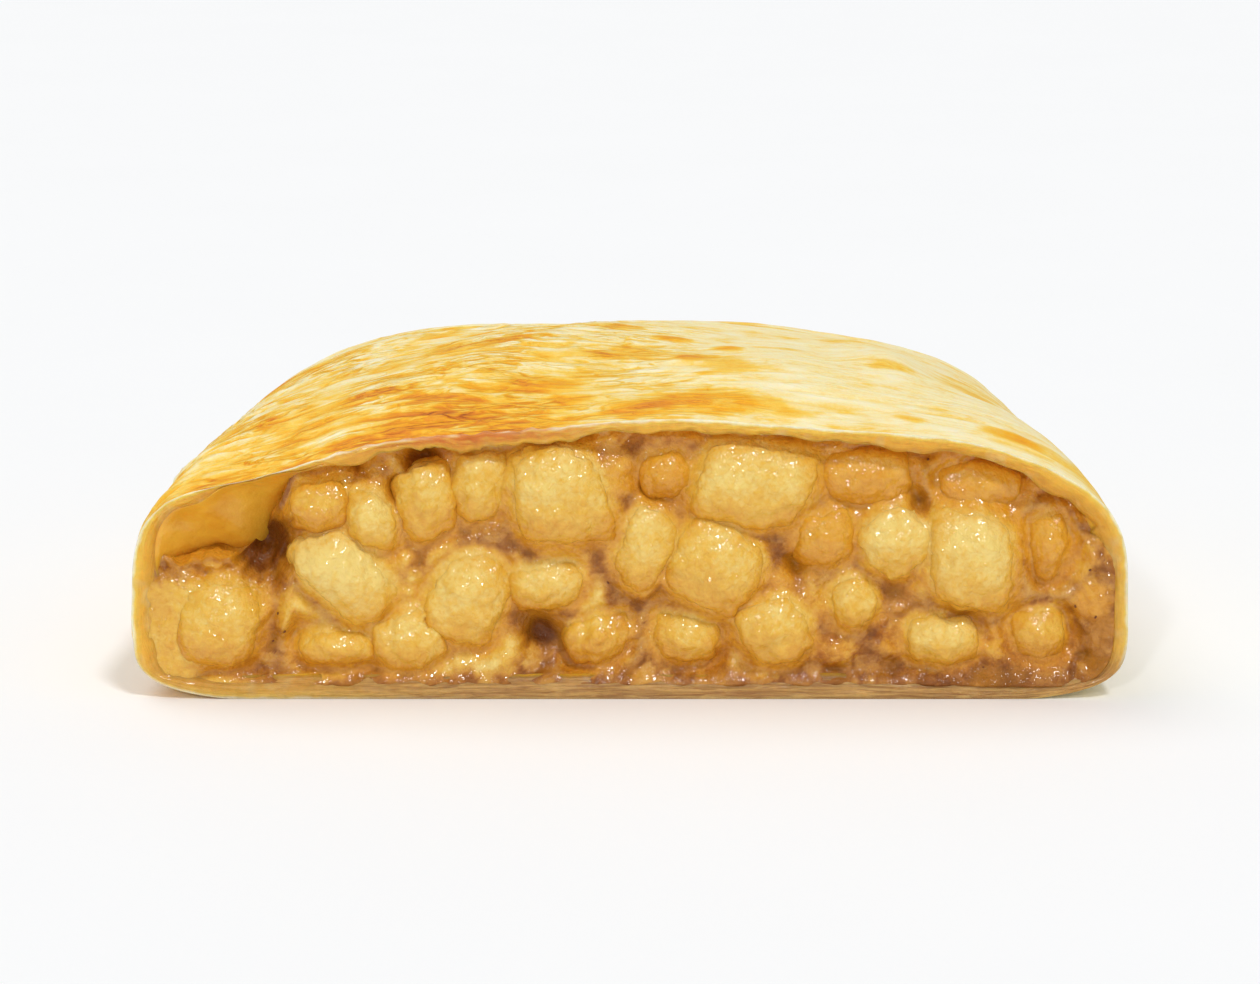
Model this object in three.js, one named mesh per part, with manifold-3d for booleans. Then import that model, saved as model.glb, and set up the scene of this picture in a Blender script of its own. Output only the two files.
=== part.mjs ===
// A cut end piece of apple strudel, standing on its flat base. A thin baked dough shell, closed at the far
// end, arches over an apple filling that shows at the cut. Millimetres, +Z up: the cut looks along -Y, and
// the origin is under the middle of the piece.
import * as THREE from "three";
import { mergeVertices } from "three/addons/utils/BufferGeometryUtils.js";
import Module from "manifold-3d";

// Driving dimensions.
const WIDTH = 100; // across the cut, at the waist
const LENGTH = 74; // from the cut to the closed end
const CUT_TOP = 28.2; // height of the crust over the middle of the cut
const CROWN_RISE = 3.6; // how much the crust climbs behind the cut
const CROWN_AT = 0.5; // where along the length it is highest
const WAIST = 10; // height of the widest line of the section
const SIDE_TAPER = 0.1; // share of its width that the piece loses towards the closed end
const ARCH_POWER = { cut: 3.2, crown: 2.3, end: 2.9 }; // squareness of the section above the waist
const BASE_POWER = 5.5; // squareness of the section below the waist
const PLAN_POWER = 5.6; // squareness of the closed end, seen from above
const END_POWER = 3.1; // squareness of the closed end, seen from the side
const BASE_PRESS = 0.7; // how deep the base is pressed flat
const DROOP = { depth: 3.0, at: -37, across: 11, back: 16 }; // the crust sags here at the cut
const DOUGH = { top: 1.8, side: 2.8, base: 2.4, end: 3.2 }; // wall of the shell
const GAP = 0.42; // between the shell and the filling, and round each apple piece
const POCKET = { top: 14, edge: -34.5, soft: 4, back: 14 }; // air over the filling, beside the left wall
const FILL_SET_BACK = 2.2; // how far the filling lies behind the cut edge of the dough
const PIECE_DEPTH = 8.5; // how far an apple piece reaches back into the filling

// Unevenness.
const SWELL = { long: 0.5, short: 0.35 }; // slow waves of the crust
const EDGE = { back: 0.5, wave: 0.35, ripple: 0.2 }; // how far the knife-cut edge lies behind the cut
const FACE = { wave: 0.5, ripple: 0.3 }; // the filling's face at the cut
const SKEW = { aside: 0.16, above: 0.14, twist: 0.07, narrow: 0.13 }; // how far an apple piece is out of true
const PIECE_POWER = 4; // how square an apple piece is
const POCKET_GIVE = 0.04; // share of a rise that is left over the pocket
const ARCH_SET = 0.95; // share of the length past which the arch keeps its shape

// Mesh density.
const AROUND = 44;
const STRAIGHT_RINGS = 6;
const STRAIGHT_SHARE = 0.72; // share of the length that the straight rings cover
const END_RINGS = 6;
const FACE_RINGS = 4;
const LARGE_FACE = 56; // square millimetres of face past which an apple piece gets the finer mesh

const CRUST = new THREE.MeshStandardMaterial({ color: "#f1cd78", roughness: 0.62, metalness: 0 });
const COMPOTE = new THREE.MeshStandardMaterial({ color: "#b98443", roughness: 0.3, metalness: 0 });
const APPLE = new THREE.MeshStandardMaterial({ color: "#e3b958", roughness: 0.35, metalness: 0 });

const NO_INSET = { top: 0, side: 0, base: 0, end: 0 };
const CAVITY_INSET = DOUGH;
const FILLING_INSET = Object.fromEntries(
  Object.entries(DOUGH).map(([side, wall]) => [side, wall + GAP]),
);

const wasm = await Module();
wasm.setup();

/** 0 below low, 1 above high, and smooth in between. */
const smooth = (value, low, high) => THREE.MathUtils.smoothstep(value, low, high);

/** The share of a superellipse's radius that is left at a share of its length. */
const closing = (share, power) => Math.pow(Math.max(0, 1 - Math.pow(share, power)), 1 / power);

/** Slow swells of the baked crust, at most about a millimetre. */
function swell(x, y) {
  const long = SWELL.long * Math.sin(x * 0.085 + 0.6) * Math.cos(y * 0.075 + 0.3);
  return long + SWELL.short * Math.sin(x * 0.19 - y * 0.13 + 1.1);
}

/** Height of the shell over the middle of the section, at a distance behind the cut. */
function ridgeHeight(y) {
  const climb = Math.sin((Math.min(1, y / (LENGTH * CROWN_AT)) * Math.PI) / 2);
  return CUT_TOP + CROWN_RISE * climb;
}

/** Squareness of the arch: crisp at the cut, round over the crown, boxy where the end is folded shut. */
function archPower(share) {
  const behindCut = THREE.MathUtils.lerp(ARCH_POWER.cut, ARCH_POWER.crown, smooth(share, 0, CROWN_AT));
  return THREE.MathUtils.lerp(behindCut, ARCH_POWER.end, smooth(share, CROWN_AT, ARCH_SET));
}

/** A point of the strudel's skin, or of a surface inside it: an angle round the section, and a depth. */
function bodyPoint(angle, depth, inset) {
  const length = LENGTH - inset.end;
  const share = Math.min(1, Math.max(0, depth / length));
  const half = (WIDTH / 2 - inset.side) * (1 - SIDE_TAPER * share) * closing(share, PLAN_POWER);
  const cos = Math.cos(angle);
  const sin = Math.sin(angle);
  const upper = sin >= 0;
  const power = 2 / (upper ? archPower(share) : BASE_POWER);
  const x = half * Math.sign(cos) * Math.pow(Math.abs(cos), power);
  const reach = Math.pow(Math.abs(sin), power);
  if (!upper) {
    const low = (WAIST + BASE_PRESS) * closing(share, BASE_POWER) * reach;
    return new THREE.Vector3(x, depth, Math.max(inset.base, WAIST - low));
  }
  const aside = (x - DROOP.at) / DROOP.across;
  const sag = DROOP.depth * Math.exp(-aside * aside - depth / DROOP.back);
  const top = ridgeHeight(depth) - inset.top - sag + swell(x, depth) * sin;
  return new THREE.Vector3(x, depth, WAIST + (top - WAIST) * closing(share, END_POWER) * reach);
}

/** Depths of the rings of a body: even along the sides, then round the closed end. */
function ringDepths(front, inset) {
  const length = LENGTH - inset.end;
  const turn = Math.asin(Math.pow(STRAIGHT_SHARE, PLAN_POWER / 2));
  const straight = Array.from({ length: STRAIGHT_RINGS }, (_, i) => {
    return THREE.MathUtils.lerp(front, STRAIGHT_SHARE * length, i / STRAIGHT_RINGS);
  });
  const round = Array.from({ length: END_RINGS }, (_, i) => {
    const angle = THREE.MathUtils.lerp(turn, Math.PI / 2, i / END_RINGS);
    return length * Math.pow(Math.sin(angle), 2 / PLAN_POWER);
  });
  return [...straight, ...round];
}

/** Rings of points joined into a closed skin, with a point at each end. */
function skin(rings, startPoint, endPoint) {
  const points = [startPoint, ...rings.flat(), endPoint];
  const index = [];
  const at = (ring, i) => 1 + ring * AROUND + (i % AROUND);
  for (let i = 0; i < AROUND; i++) {
    index.push(0, at(0, i), at(0, i + 1));
    index.push(points.length - 1, at(rings.length - 1, i + 1), at(rings.length - 1, i));
    for (let ring = 0; ring + 1 < rings.length; ring++) {
      index.push(at(ring, i), at(ring + 1, i), at(ring + 1, i + 1));
      index.push(at(ring, i), at(ring + 1, i + 1), at(ring, i + 1));
    }
  }
  const geometry = new THREE.BufferGeometry().setFromPoints(points);
  geometry.setIndex(index);
  return geometry;
}

/** A geometry as a solid that can be cut and joined. */
function solid(geometry) {
  const bare = geometry.clone();
  bare.deleteAttribute("normal");
  bare.deleteAttribute("uv");
  const merged = mergeVertices(bare, 1e-4);
  return new wasm.Manifold(
    new wasm.Mesh({
      numProp: 3,
      vertProperties: merged.attributes.position.array,
      triVerts: new Uint32Array(merged.index.array),
    }),
  );
}

/** A solid as a geometry. */
function geometryOf(made) {
  const { vertProperties, triVerts, numProp } = made.getMesh();
  const corners = vertProperties.length / numProp;
  const position = new Float32Array(corners * 3);
  for (let i = 0; i < corners; i++) {
    position.set(vertProperties.subarray(i * numProp, i * numProp + 3), i * 3);
  }
  const geometry = new THREE.BufferGeometry();
  geometry.setAttribute("position", new THREE.BufferAttribute(position, 3));
  return geometry.setIndex(new THREE.BufferAttribute(new Uint32Array(triVerts), 1));
}

/** The dough: its knife-cut edge wanders a little, and its inside is open at the cut. */
function doughShell() {
  const angles = Array.from({ length: AROUND }, (_, i) => (i / AROUND) * Math.PI * 2);
  const edge = (angle) => {
    const wander = EDGE.back + EDGE.wave * Math.sin(angle * 9) + EDGE.ripple * Math.sin(angle * 17);
    return Math.max(0, Math.sin(angle)) * wander;
  };
  const ring = (depth, inset, front) =>
    angles.map((angle) => bodyPoint(angle, Math.max(depth, front ? edge(angle) : 0), inset));
  const outer = ringDepths(0, NO_INSET).map((depth, i) => ring(depth, NO_INSET, i === 0));
  const inner = ringDepths(0, CAVITY_INSET).map((depth, i) => ring(depth, CAVITY_INSET, i === 0));
  const outerTip = new THREE.Vector3(0, LENGTH, WAIST);
  const innerTip = new THREE.Vector3(0, LENGTH - DOUGH.end, WAIST);
  // From the tip of the inside, forward along the inside, over the cut edge and back along the outside.
  return skin([...inner.reverse(), ...outer], innerTip, outerTip);
}

/** How high the filling may reach: it leaves an air pocket under the crust beside the left wall. */
function fillingTop(x, depth) {
  const open = 1 - smooth(x, POCKET.edge - POCKET.soft, POCKET.edge + POCKET.soft);
  const shallow = 1 - smooth(depth, POCKET.back / 3, POCKET.back);
  return THREE.MathUtils.lerp(CUT_TOP + CROWN_RISE, POCKET.top, open * shallow);
}

/** How the face of the filling wanders behind the cut. */
function faceRelief(x, z) {
  const wave = FACE.wave * Math.sin(x * 0.55 + 1.3) * Math.cos(z * 0.6 + 0.4);
  return FILL_SET_BACK + wave + FACE.ripple * Math.sin(x * 1.1 - z * 0.9);
}

/** The cooked-down filling that fills the shell from the cut to the closed end. */
function fillingBody() {
  const angles = Array.from({ length: AROUND }, (_, i) => (i / AROUND) * Math.PI * 2);
  const settle = (point) => {
    const ceiling = fillingTop(point.x, point.y);
    if (point.z > ceiling) point.z = ceiling + (point.z - ceiling) * POCKET_GIVE;
    return point;
  };
  const section = (depth) => angles.map((angle) => settle(bodyPoint(angle, depth, FILLING_INSET)));
  const rings = ringDepths(FILL_SET_BACK, FILLING_INSET).map(section);
  const heart = new THREE.Vector3(0, 0, WAIST);
  const face = [];
  for (let i = 1; i < FACE_RINGS; i++) {
    const share = i / FACE_RINGS;
    face.push(
      rings[0].map((rim) => {
        const point = new THREE.Vector3().lerpVectors(heart, rim, share);
        point.y = faceRelief(point.x, point.z);
        return point;
      }),
    );
  }
  const front = new THREE.Vector3(0, faceRelief(0, WAIST), WAIST);
  const tip = new THREE.Vector3(0, LENGTH - FILLING_INSET.end, WAIST);
  return skin([...face, ...rings], front, tip);
}

// The apple pieces that the cut shows, each about a 10 mm dice, cooked soft: where its middle lies across
// and above the base, how wide and tall it shows, how far it leans (degrees), and how far its face stands
// out of the cut. They are set where they lie in the filling, row by row.
const PIECES = [
  // Top row, under the crust, from left to right.
  { across: -31.0, up: 19.6, wide: 6.0, tall: 4.8, lean: 8, out: 0.3 },
  { across: -25.8, up: 18.2, wide: 5.2, tall: 5.4, lean: -10, out: 0.7 },
  { across: -20.4, up: 19.8, wide: 5.8, tall: 7.6, lean: 12, out: 0.1 },
  { across: -15.0, up: 21.4, wide: 5.4, tall: 7.2, lean: -6, out: -0.3 },
  { across: -7.0, up: 20.6, wide: 9.8, tall: 9.6, lean: 5, out: 1.2 },
  { across: 3.4, up: 22.6, wide: 5.4, tall: 4.6, lean: 20, out: -0.7 },
  { across: 12.2, up: 21.6, wide: 12.0, tall: 8.0, lean: -8, out: 0.8 },
  { across: 23.6, up: 22.2, wide: 9.4, tall: 5.6, lean: 4, out: -0.9 },
  { across: 35.2, up: 21.4, wide: 8.6, tall: 5.4, lean: 14, out: -1.1 },
  // Middle row.
  { across: -28.6, up: 12.6, wide: 11.0, tall: 6.0, lean: -42, out: 0.9 },
  { across: -16.2, up: 9.8, wide: 7.2, tall: 9.4, lean: -28, out: 0.2 },
  { across: -8.6, up: 11.2, wide: 7.4, tall: 4.4, lean: 10, out: -0.1 },
  { across: 1.6, up: 15.2, wide: 5.0, tall: 8.0, lean: -22, out: 0.6 },
  { across: 8.4, up: 13.6, wide: 8.8, tall: 8.4, lean: -32, out: 1.1 },
  { across: 19.6, up: 16.4, wide: 5.6, tall: 5.4, lean: 0, out: 0.0 },
  { across: 26.4, up: 15.8, wide: 6.6, tall: 6.8, lean: 45, out: 0.5 },
  { across: 34.4, up: 14.0, wide: 8.2, tall: 10.0, lean: -4, out: 1.3 },
  { across: 42.0, up: 15.2, wide: 3.8, tall: 6.8, lean: 8, out: -0.8 },
  // Bottom row, over the base.
  { across: -41.2, up: 7.4, wide: 7.8, tall: 8.6, lean: -4, out: 0.8 },
  { across: -29.8, up: 5.0, wide: 8.0, tall: 3.4, lean: 6, out: 0.2 },
  { across: -22.0, up: 5.8, wide: 7.4, tall: 5.8, lean: 24, out: 0.4 },
  { across: -3.4, up: 5.6, wide: 7.0, tall: 4.6, lean: 14, out: -0.6 },
  { across: 5.8, up: 5.9, wide: 6.8, tall: 4.8, lean: -12, out: -0.2 },
  { across: 14.4, up: 6.8, wide: 6.6, tall: 6.8, lean: 30, out: 0.9 },
  { across: 22.4, up: 9.6, wide: 4.4, tall: 4.8, lean: 18, out: 0.1 },
  { across: 31.4, up: 5.8, wide: 7.4, tall: 4.8, lean: -6, out: 0.3 },
  { across: 41.2, up: 6.2, wide: 5.4, tall: 5.2, lean: 10, out: -0.5 },
];

/** A cooked apple dice: a box with soft corners, pulled a little out of true. */
function applePiece({ across, up, wide, tall, lean, out }, number, grow) {
  const cuts = wide * tall > LARGE_FACE ? 3 : 2;
  const box = new THREE.BoxGeometry(2, 2, 2, cuts, cuts, cuts);
  box.deleteAttribute("normal");
  box.deleteAttribute("uv");
  const geometry = mergeVertices(box, 1e-4);
  const position = geometry.attributes.position;
  const half = new THREE.Vector3(wide / 2, PIECE_DEPTH / 2, tall / 2);
  const turned = THREE.MathUtils.degToRad(lean);
  for (let i = 0; i < position.count; i++) {
    const point = new THREE.Vector3().fromBufferAttribute(position, i);
    // The box's corners are drawn in onto a rounded block.
    const powers = point.toArray().map((side) => Math.abs(side) ** PIECE_POWER);
    point.divideScalar(Math.pow(powers[0] + powers[1] + powers[2], 1 / PIECE_POWER));
    const twistX = SKEW.twist * Math.sin(number * 3.3 + point.y * 2);
    const twistZ = SKEW.twist * Math.sin(number * 4.1 + point.x * 3);
    const skewX = SKEW.aside * Math.sin(number * 2.1) * point.z + twistX;
    const skewZ = SKEW.above * Math.cos(number * 1.7) * point.x + twistZ;
    const narrow = 1 - SKEW.narrow * Math.sin(number * 1.3 + 0.5) * point.z;
    point.set(point.x * narrow + skewX, point.y, point.z + skewZ);
    point.multiply(half.clone().addScalar(grow));
    point.applyAxisAngle(new THREE.Vector3(0, 1, 0), -turned);
    point.add(new THREE.Vector3(across, PIECE_DEPTH / 2 - out, up));
    position.setXYZ(i, point.x, point.y, point.z);
  }
  return geometry;
}

/** One named piece of the strudel. */
function part(name, geometry, material) {
  geometry.computeVertexNormals();
  const mesh = new THREE.Mesh(geometry, material);
  mesh.name = name;
  return mesh;
}

/** The room inside the dough, open at the cut: what lies in it stays clear of the shell. */
function room() {
  const angles = Array.from({ length: AROUND }, (_, i) => (i / AROUND) * Math.PI * 2);
  const section = (depth) => angles.map((angle) => bodyPoint(angle, depth, FILLING_INSET));
  const mouth = section(0).map((point) => point.setY(-PIECE_DEPTH));
  const front = new THREE.Vector3(0, -PIECE_DEPTH, WAIST);
  const tip = new THREE.Vector3(0, LENGTH - FILLING_INSET.end, WAIST);
  return skin([mouth, ...ringDepths(0, FILLING_INSET).map(section)], front, tip);
}

const shell = solid(doughShell());
const inside = solid(room());
let filling = solid(fillingBody());
const apples = [];
PIECES.forEach((piece, i) => {
  // A piece is pressed against the dough and against the pieces that were there before it.
  const pressed = PIECES.slice(0, i).reduce(
    (left, other, j) => left.subtract(solid(applePiece(other, j + 1, GAP))),
    solid(applePiece(piece, i + 1, 0)).intersect(inside),
  );
  apples.push(pressed);
  filling = filling.subtract(solid(applePiece(piece, i + 1, GAP)));
});

const strudel = new THREE.Group();
strudel.add(part("dough_shell", geometryOf(shell), CRUST));
strudel.add(part("apple_filling", geometryOf(filling), COMPOTE));
apples.forEach((apple, i) => {
  strudel.add(part(`apple_piece_${String(i + 1).padStart(2, "0")}`, geometryOf(apple), APPLE));
});

// The origin is under the middle of the piece, on the surface it stands on.
const box = new THREE.Box3().setFromObject(strudel);
strudel.position.set(-(box.min.x + box.max.x) / 2, -(box.min.y + box.max.y) / 2, -box.min.z);

export default strudel;
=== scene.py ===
"""A cut end piece of apple strudel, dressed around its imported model.

A thin baked dough shell, closed at the far end, arches over a moist filling of cooked apple dice. The form of
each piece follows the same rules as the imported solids, at a much finer mesh. Sizes in the classes are in
millimetres; objects are in metres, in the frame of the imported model: +Z up, and the cut looks along -Y.
"""
import logging
import math
from dataclasses import dataclass, field
from enum import Enum

import bmesh
import bpy
import numpy as np
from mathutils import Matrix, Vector
from mathutils.bvhtree import BVHTree


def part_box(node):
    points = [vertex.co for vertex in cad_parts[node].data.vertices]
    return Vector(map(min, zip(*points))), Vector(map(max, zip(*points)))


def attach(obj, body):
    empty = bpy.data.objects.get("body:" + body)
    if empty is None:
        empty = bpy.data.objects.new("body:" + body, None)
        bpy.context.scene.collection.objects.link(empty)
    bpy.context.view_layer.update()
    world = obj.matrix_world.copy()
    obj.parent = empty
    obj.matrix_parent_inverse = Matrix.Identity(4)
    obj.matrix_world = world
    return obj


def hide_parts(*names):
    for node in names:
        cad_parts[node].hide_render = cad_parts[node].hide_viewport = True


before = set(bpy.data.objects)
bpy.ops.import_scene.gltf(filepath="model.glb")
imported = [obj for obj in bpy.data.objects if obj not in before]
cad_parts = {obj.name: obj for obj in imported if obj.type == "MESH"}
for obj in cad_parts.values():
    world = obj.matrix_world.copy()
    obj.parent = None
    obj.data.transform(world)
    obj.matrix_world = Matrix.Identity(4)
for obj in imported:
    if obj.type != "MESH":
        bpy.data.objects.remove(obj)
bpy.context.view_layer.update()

LOG = logging.getLogger("strudel")
MM = 0.001
FAR = 60.0
WELD = 1e-6
Array = np.ndarray
Socket = bpy.types.NodeSocket


# --------------------------------------------------------------------------------------------------
# Small tools: numbers, noise and meshes.
# --------------------------------------------------------------------------------------------------


def linear(colour: str) -> tuple[float, float, float, float]:
    """Turn an sRGB hex colour into the linear values that a shader takes.

    Args:
        colour: a colour such as "#f4d16b".

    Returns:
        Red, green, blue and an alpha of one.
    """
    parts = [int(colour[i : i + 2], 16) / 255 for i in (1, 3, 5)]
    red, green, blue = (c / 12.92 if c <= 0.04045 else ((c + 0.055) / 1.055) ** 2.4 for c in parts)
    return red, green, blue, 1.0


def smooth(value: Array, low: float, high: float) -> Array:
    """Return 0 below low, 1 above high, and a smooth rise in between."""
    share = np.clip((np.asarray(value, float) - low) / (high - low), 0, 1)
    return share * share * (3 - 2 * share)


def hill(value: Array, middle: float, width: float) -> Array:
    """Return a smooth hill: one at the middle, and about a third a width away."""
    return np.exp(-(((np.asarray(value, float) - middle) / width) ** 2))


def closing(share: Array, power: float) -> Array:
    """Return the share of a superellipse's radius that is left at a share of its length."""
    return np.maximum(0, 1 - np.clip(share, 0, 1) ** power) ** (1 / power)


class Grain:
    """Smooth noise from a fixed seed, between about -1 and 1."""

    SIZE = 256
    SCALE = 1.6
    FINER = 2.03
    FAINTER = 0.5
    SHIFT = 7.1

    def __init__(self, seed: int) -> None:
        """Draw the directions and the order of the lattice.

        Args:
            seed: the number that fixes the pattern.
        """
        draws = np.random.default_rng(seed)
        directions = draws.normal(size=(self.SIZE, 3))
        self.directions = directions / np.linalg.norm(directions, axis=1, keepdims=True)
        self.order = draws.permutation(self.SIZE)

    def __call__(self, points: Array) -> Array:
        """Return the noise at each point.

        Args:
            points: an array whose last axis holds x, y and z, in units of the pattern's size.

        Returns:
            One value for each point.
        """
        cell = np.floor(points).astype(int)
        local = points - cell
        fade = local**3 * (local * (local * 6 - 15) + 10)
        total = np.zeros(points.shape[:-1])
        for corner in np.ndindex(2, 2, 2):
            at = (cell + corner) % self.SIZE
            pick = self.order[at[..., 0]]
            for axis in (1, 2):
                pick = self.order[(pick + at[..., axis]) % self.SIZE]
            weight = np.prod(np.where(np.array(corner) == 1, fade, 1 - fade), axis=-1)
            total += weight * np.sum(self.directions[pick] * (local - corner), axis=-1)
        return total * self.SCALE

    def layered(self, points: Array, layers: int = 3) -> Array:
        """Return the noise with finer and fainter layers added to it."""
        return sum(self(points * self.FINER**i + self.SHIFT * i) * self.FAINTER**i for i in range(layers))


def grain(seed: int, *parts: Array | float, layers: int = 1) -> Array:
    """Return smooth noise over coordinates.

    Args:
        seed: the number that fixes the pattern.
        parts: up to three coordinates, each in units of the pattern's size.
        layers: how many times finer noise is added.

    Returns:
        One value for each point, about -1 to 1.
    """
    return Grain(seed).layered(filled(*parts), layers)


def filled(*parts: Array | float) -> Array:
    """Return coordinate arrays stacked into points, filled up with zeros to three."""
    wide = np.broadcast_arrays(*parts)
    return np.stack([*wide, *([np.zeros_like(wide[0])] * (3 - len(wide)))], axis=-1)


@dataclass(frozen=True)
class Lumps:
    """Soft lumps of one kind: their size, height and round shoulder in millimetres, and their shapes."""

    size: float
    height: float
    shoulder: float
    tilt: float
    share: float


@dataclass(frozen=True)
class Cells:
    """A plane split into uneven cells, with what a soft lump in each cell needs."""

    TABLE = 64

    edge: Array
    aside: Array
    above: Array
    chance: Array
    second: Array
    third: Array

    @classmethod
    def over(cls, across: Array, up: Array, size: float, seed: int) -> "Cells":
        """Split a plane.

        Args:
            across: first coordinates, in millimetres.
            up: second coordinates, in millimetres.
            size: usual width of a cell.
            seed: the number that fixes the pattern.

        Returns:
            For each point: how far it lies from its cell's edge, its place from the cell's middle, both in
            millimetres, and three random shares that belong to the cell.
        """
        table = np.random.default_rng(seed).random((cls.TABLE, cls.TABLE, 5))
        x, y = across / size, up / size
        cell_x, cell_y = np.floor(x).astype(int), np.floor(y).astype(int)
        near, next_near = np.full(x.shape, 9.0), np.full(x.shape, 9.0)
        best = np.zeros((*x.shape, 5))
        for step_x, step_y in np.ndindex(5, 5):
            at_x, at_y = cell_x + step_x - 2, cell_y + step_y - 2
            drawn = table[at_x % cls.TABLE, at_y % cls.TABLE]
            aside, above = x - at_x - drawn[..., 0], y - at_y - drawn[..., 1]
            far = np.hypot(aside, above)
            closer = far < near
            next_near = np.where(closer, near, np.minimum(next_near, far))
            near = np.where(closer, far, near)
            found = np.concatenate([np.stack([aside, above], axis=-1), drawn[..., 2:]], axis=-1)
            best = np.where(closer[..., None], found, best)
        shares = np.moveaxis(best[..., 2:], -1, 0)
        return cls((next_near - near) * size / 2, best[..., 0] * size, best[..., 1] * size, *shares)

    def lumps(self, kind: Lumps) -> Array:
        """Return the height of soft lumps with leaning tops, in millimetres, in a share of the cells."""
        tall = kind.height * np.clip((self.chance - (1 - kind.share)) / kind.share, 0, 1) ** 0.5
        lean = 1 + kind.tilt * ((self.second - 0.5) * self.aside + (self.third - 0.5) * self.above)
        rim = np.clip(self.edge / kind.shoulder, 0, 1)
        return tall * np.clip(lean, 0.3, 1.6) * np.sqrt(1 - (1 - rim) ** 2)


def at_spacing(length_at: Array, values: Array, spacing: Array) -> Array:
    """Pick values along a curve, a chosen spacing apart.

    Args:
        length_at: how far along the curve each value lies, rising.
        values: the curve's own values.
        spacing: the wanted spacing at each value.

    Returns:
        The picked values, with the first and the last kept.
    """
    steps = np.diff(length_at) / (0.5 * (spacing[1:] + spacing[:-1]))
    count = np.concatenate([[0], np.cumsum(steps)])
    wanted = np.linspace(0, count[-1], max(2, int(round(count[-1])) + 1))
    return np.interp(wanted, count, values)


@dataclass
class Skin:
    """Rings of points joined into one closed skin, with a point at each end."""

    rings: list[Array] = field(default_factory=list)
    marks: list[dict[str, Array]] = field(default_factory=list)
    finish: list[int] = field(default_factory=list)

    def add(self, points: Array, finish: int, **marks: Array) -> None:
        """Add rings.

        Args:
            points: rings, each a closed loop of points, in millimetres.
            finish: number of the material of the strip in front of each ring.
            marks: values for each point, stored on the mesh by name.
        """
        for i, ring in enumerate(points):
            self.rings.append(ring)
            self.marks.append({name: np.asarray(value)[i] for name, value in marks.items()})
            self.finish.append(finish)

    def build(self, name: str, start: Array, end: Array, front: float) -> bpy.types.Object:
        """Make the mesh object.

        Args:
            name: name of the object.
            start: the point that closes the first ring.
            end: the point that closes the last ring.
            front: what is added to a depth to give its place along Y, in millimetres.

        Returns:
            The new object, at the origin.
        """
        grid = np.array(self.rings)
        rings, around = grid.shape[:2]
        points = np.concatenate([[start], grid.reshape(-1, 3), [end]]) + [0, front, 0]
        first = 1 + np.arange(rings * around).reshape(rings, around)
        following = np.roll(first, -1, axis=1)
        quads = np.stack([first[:-1], first[1:], following[1:], following[:-1]], axis=-1).reshape(-1, 4)
        caps = [(0, int(a), int(b)) for a, b in zip(first[0], following[0])]
        tail = len(points) - 1
        caps += [(tail, int(b), int(a)) for a, b in zip(first[-1], following[-1])]
        piece = mesh_object(name, points, [*quads.tolist(), *caps])
        numbers = np.repeat(self.finish[1:], around).tolist()
        numbers += [self.finish[0]] * around + [self.finish[-1]] * around
        piece.data.polygons.foreach_set("material_index", numbers)
        for mark in self.marks[0]:
            values = np.array([ring[mark] for ring in self.marks])
            values = np.concatenate([values[:1, :1].reshape(1, *values.shape[2:]),
                                     values.reshape(rings * around, *values.shape[2:]),
                                     values[-1:, :1].reshape(1, *values.shape[2:])])
            store(piece, mark, values)
        return piece


def add_object(name: str, data: bpy.types.ID) -> bpy.types.Object:
    """Return a new object that holds the data, linked to the scene."""
    piece = bpy.data.objects.new(name, data)
    bpy.context.scene.collection.objects.link(piece)
    return piece


def mesh_object(name: str, points: Array, faces: list) -> bpy.types.Object:
    """Make a smooth mesh object at the origin.

    Args:
        name: name of the object and of its mesh.
        points: corners, in millimetres.
        faces: for each face, the numbers of its corners.

    Returns:
        The new object, linked to the scene.
    """
    mesh = bpy.data.meshes.new(name)
    mesh.from_pydata((np.asarray(points) * MM).tolist(), [], faces)
    mesh.shade_smooth()
    mesh.update()
    return add_object(name, mesh)


def weld(mesh: bpy.types.Mesh, outward: bool = False) -> None:
    """Join the corners of a mesh that share a place.

    Args:
        mesh: the mesh, changed in place.
        outward: whether its faces are turned to look outward too.
    """
    work = bmesh.new()
    work.from_mesh(mesh)
    bmesh.ops.remove_doubles(work, verts=work.verts, dist=WELD)
    if outward:
        bmesh.ops.recalc_face_normals(work, faces=work.faces)
    work.to_mesh(mesh)
    work.free()


def store(piece: bpy.types.Object, name: str, values: Array) -> None:
    """Store a number or a vector for each corner of a mesh, for its material to read.

    Args:
        piece: the mesh object.
        name: name of the attribute.
        values: one number or three for each corner.
    """
    values = np.asarray(values, np.float32)
    kind = "FLOAT_VECTOR" if values.ndim == 2 else "FLOAT"
    attribute = piece.data.attributes.new(name, kind, "POINT")
    attribute.data.foreach_set("vector" if kind == "FLOAT_VECTOR" else "value", values.ravel())


def stored(piece: bpy.types.Object, name: str) -> Array:
    """Return the value that each corner of a mesh holds under a name."""
    values = np.empty(len(piece.data.vertices))
    piece.data.attributes[name].data.foreach_get("value", values)
    return values


def per_corner(piece: bpy.types.Object, what: str) -> Array:
    """Return three numbers for each corner of a mesh: its place, "co", or where it faces, "normal"."""
    flat = np.zeros(len(piece.data.vertices) * 3)
    piece.data.vertices.foreach_get(what, flat)
    return flat.reshape(-1, 3)


def move_corners(piece: bpy.types.Object, points: Array) -> None:
    """Put a mesh's corners at new places, in millimetres."""
    piece.data.vertices.foreach_set("co", (points * MM).ravel())
    piece.data.update()


def baked(piece: bpy.types.Object) -> bpy.types.Object:
    """Turn the result of a piece's modifiers into its plain mesh, and remove the modifiers."""
    evaluated = piece.evaluated_get(bpy.context.evaluated_depsgraph_get())
    result = bpy.data.meshes.new_from_object(evaluated)
    piece.modifiers.clear()
    piece.data = result
    result.name = piece.name
    return piece


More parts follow.
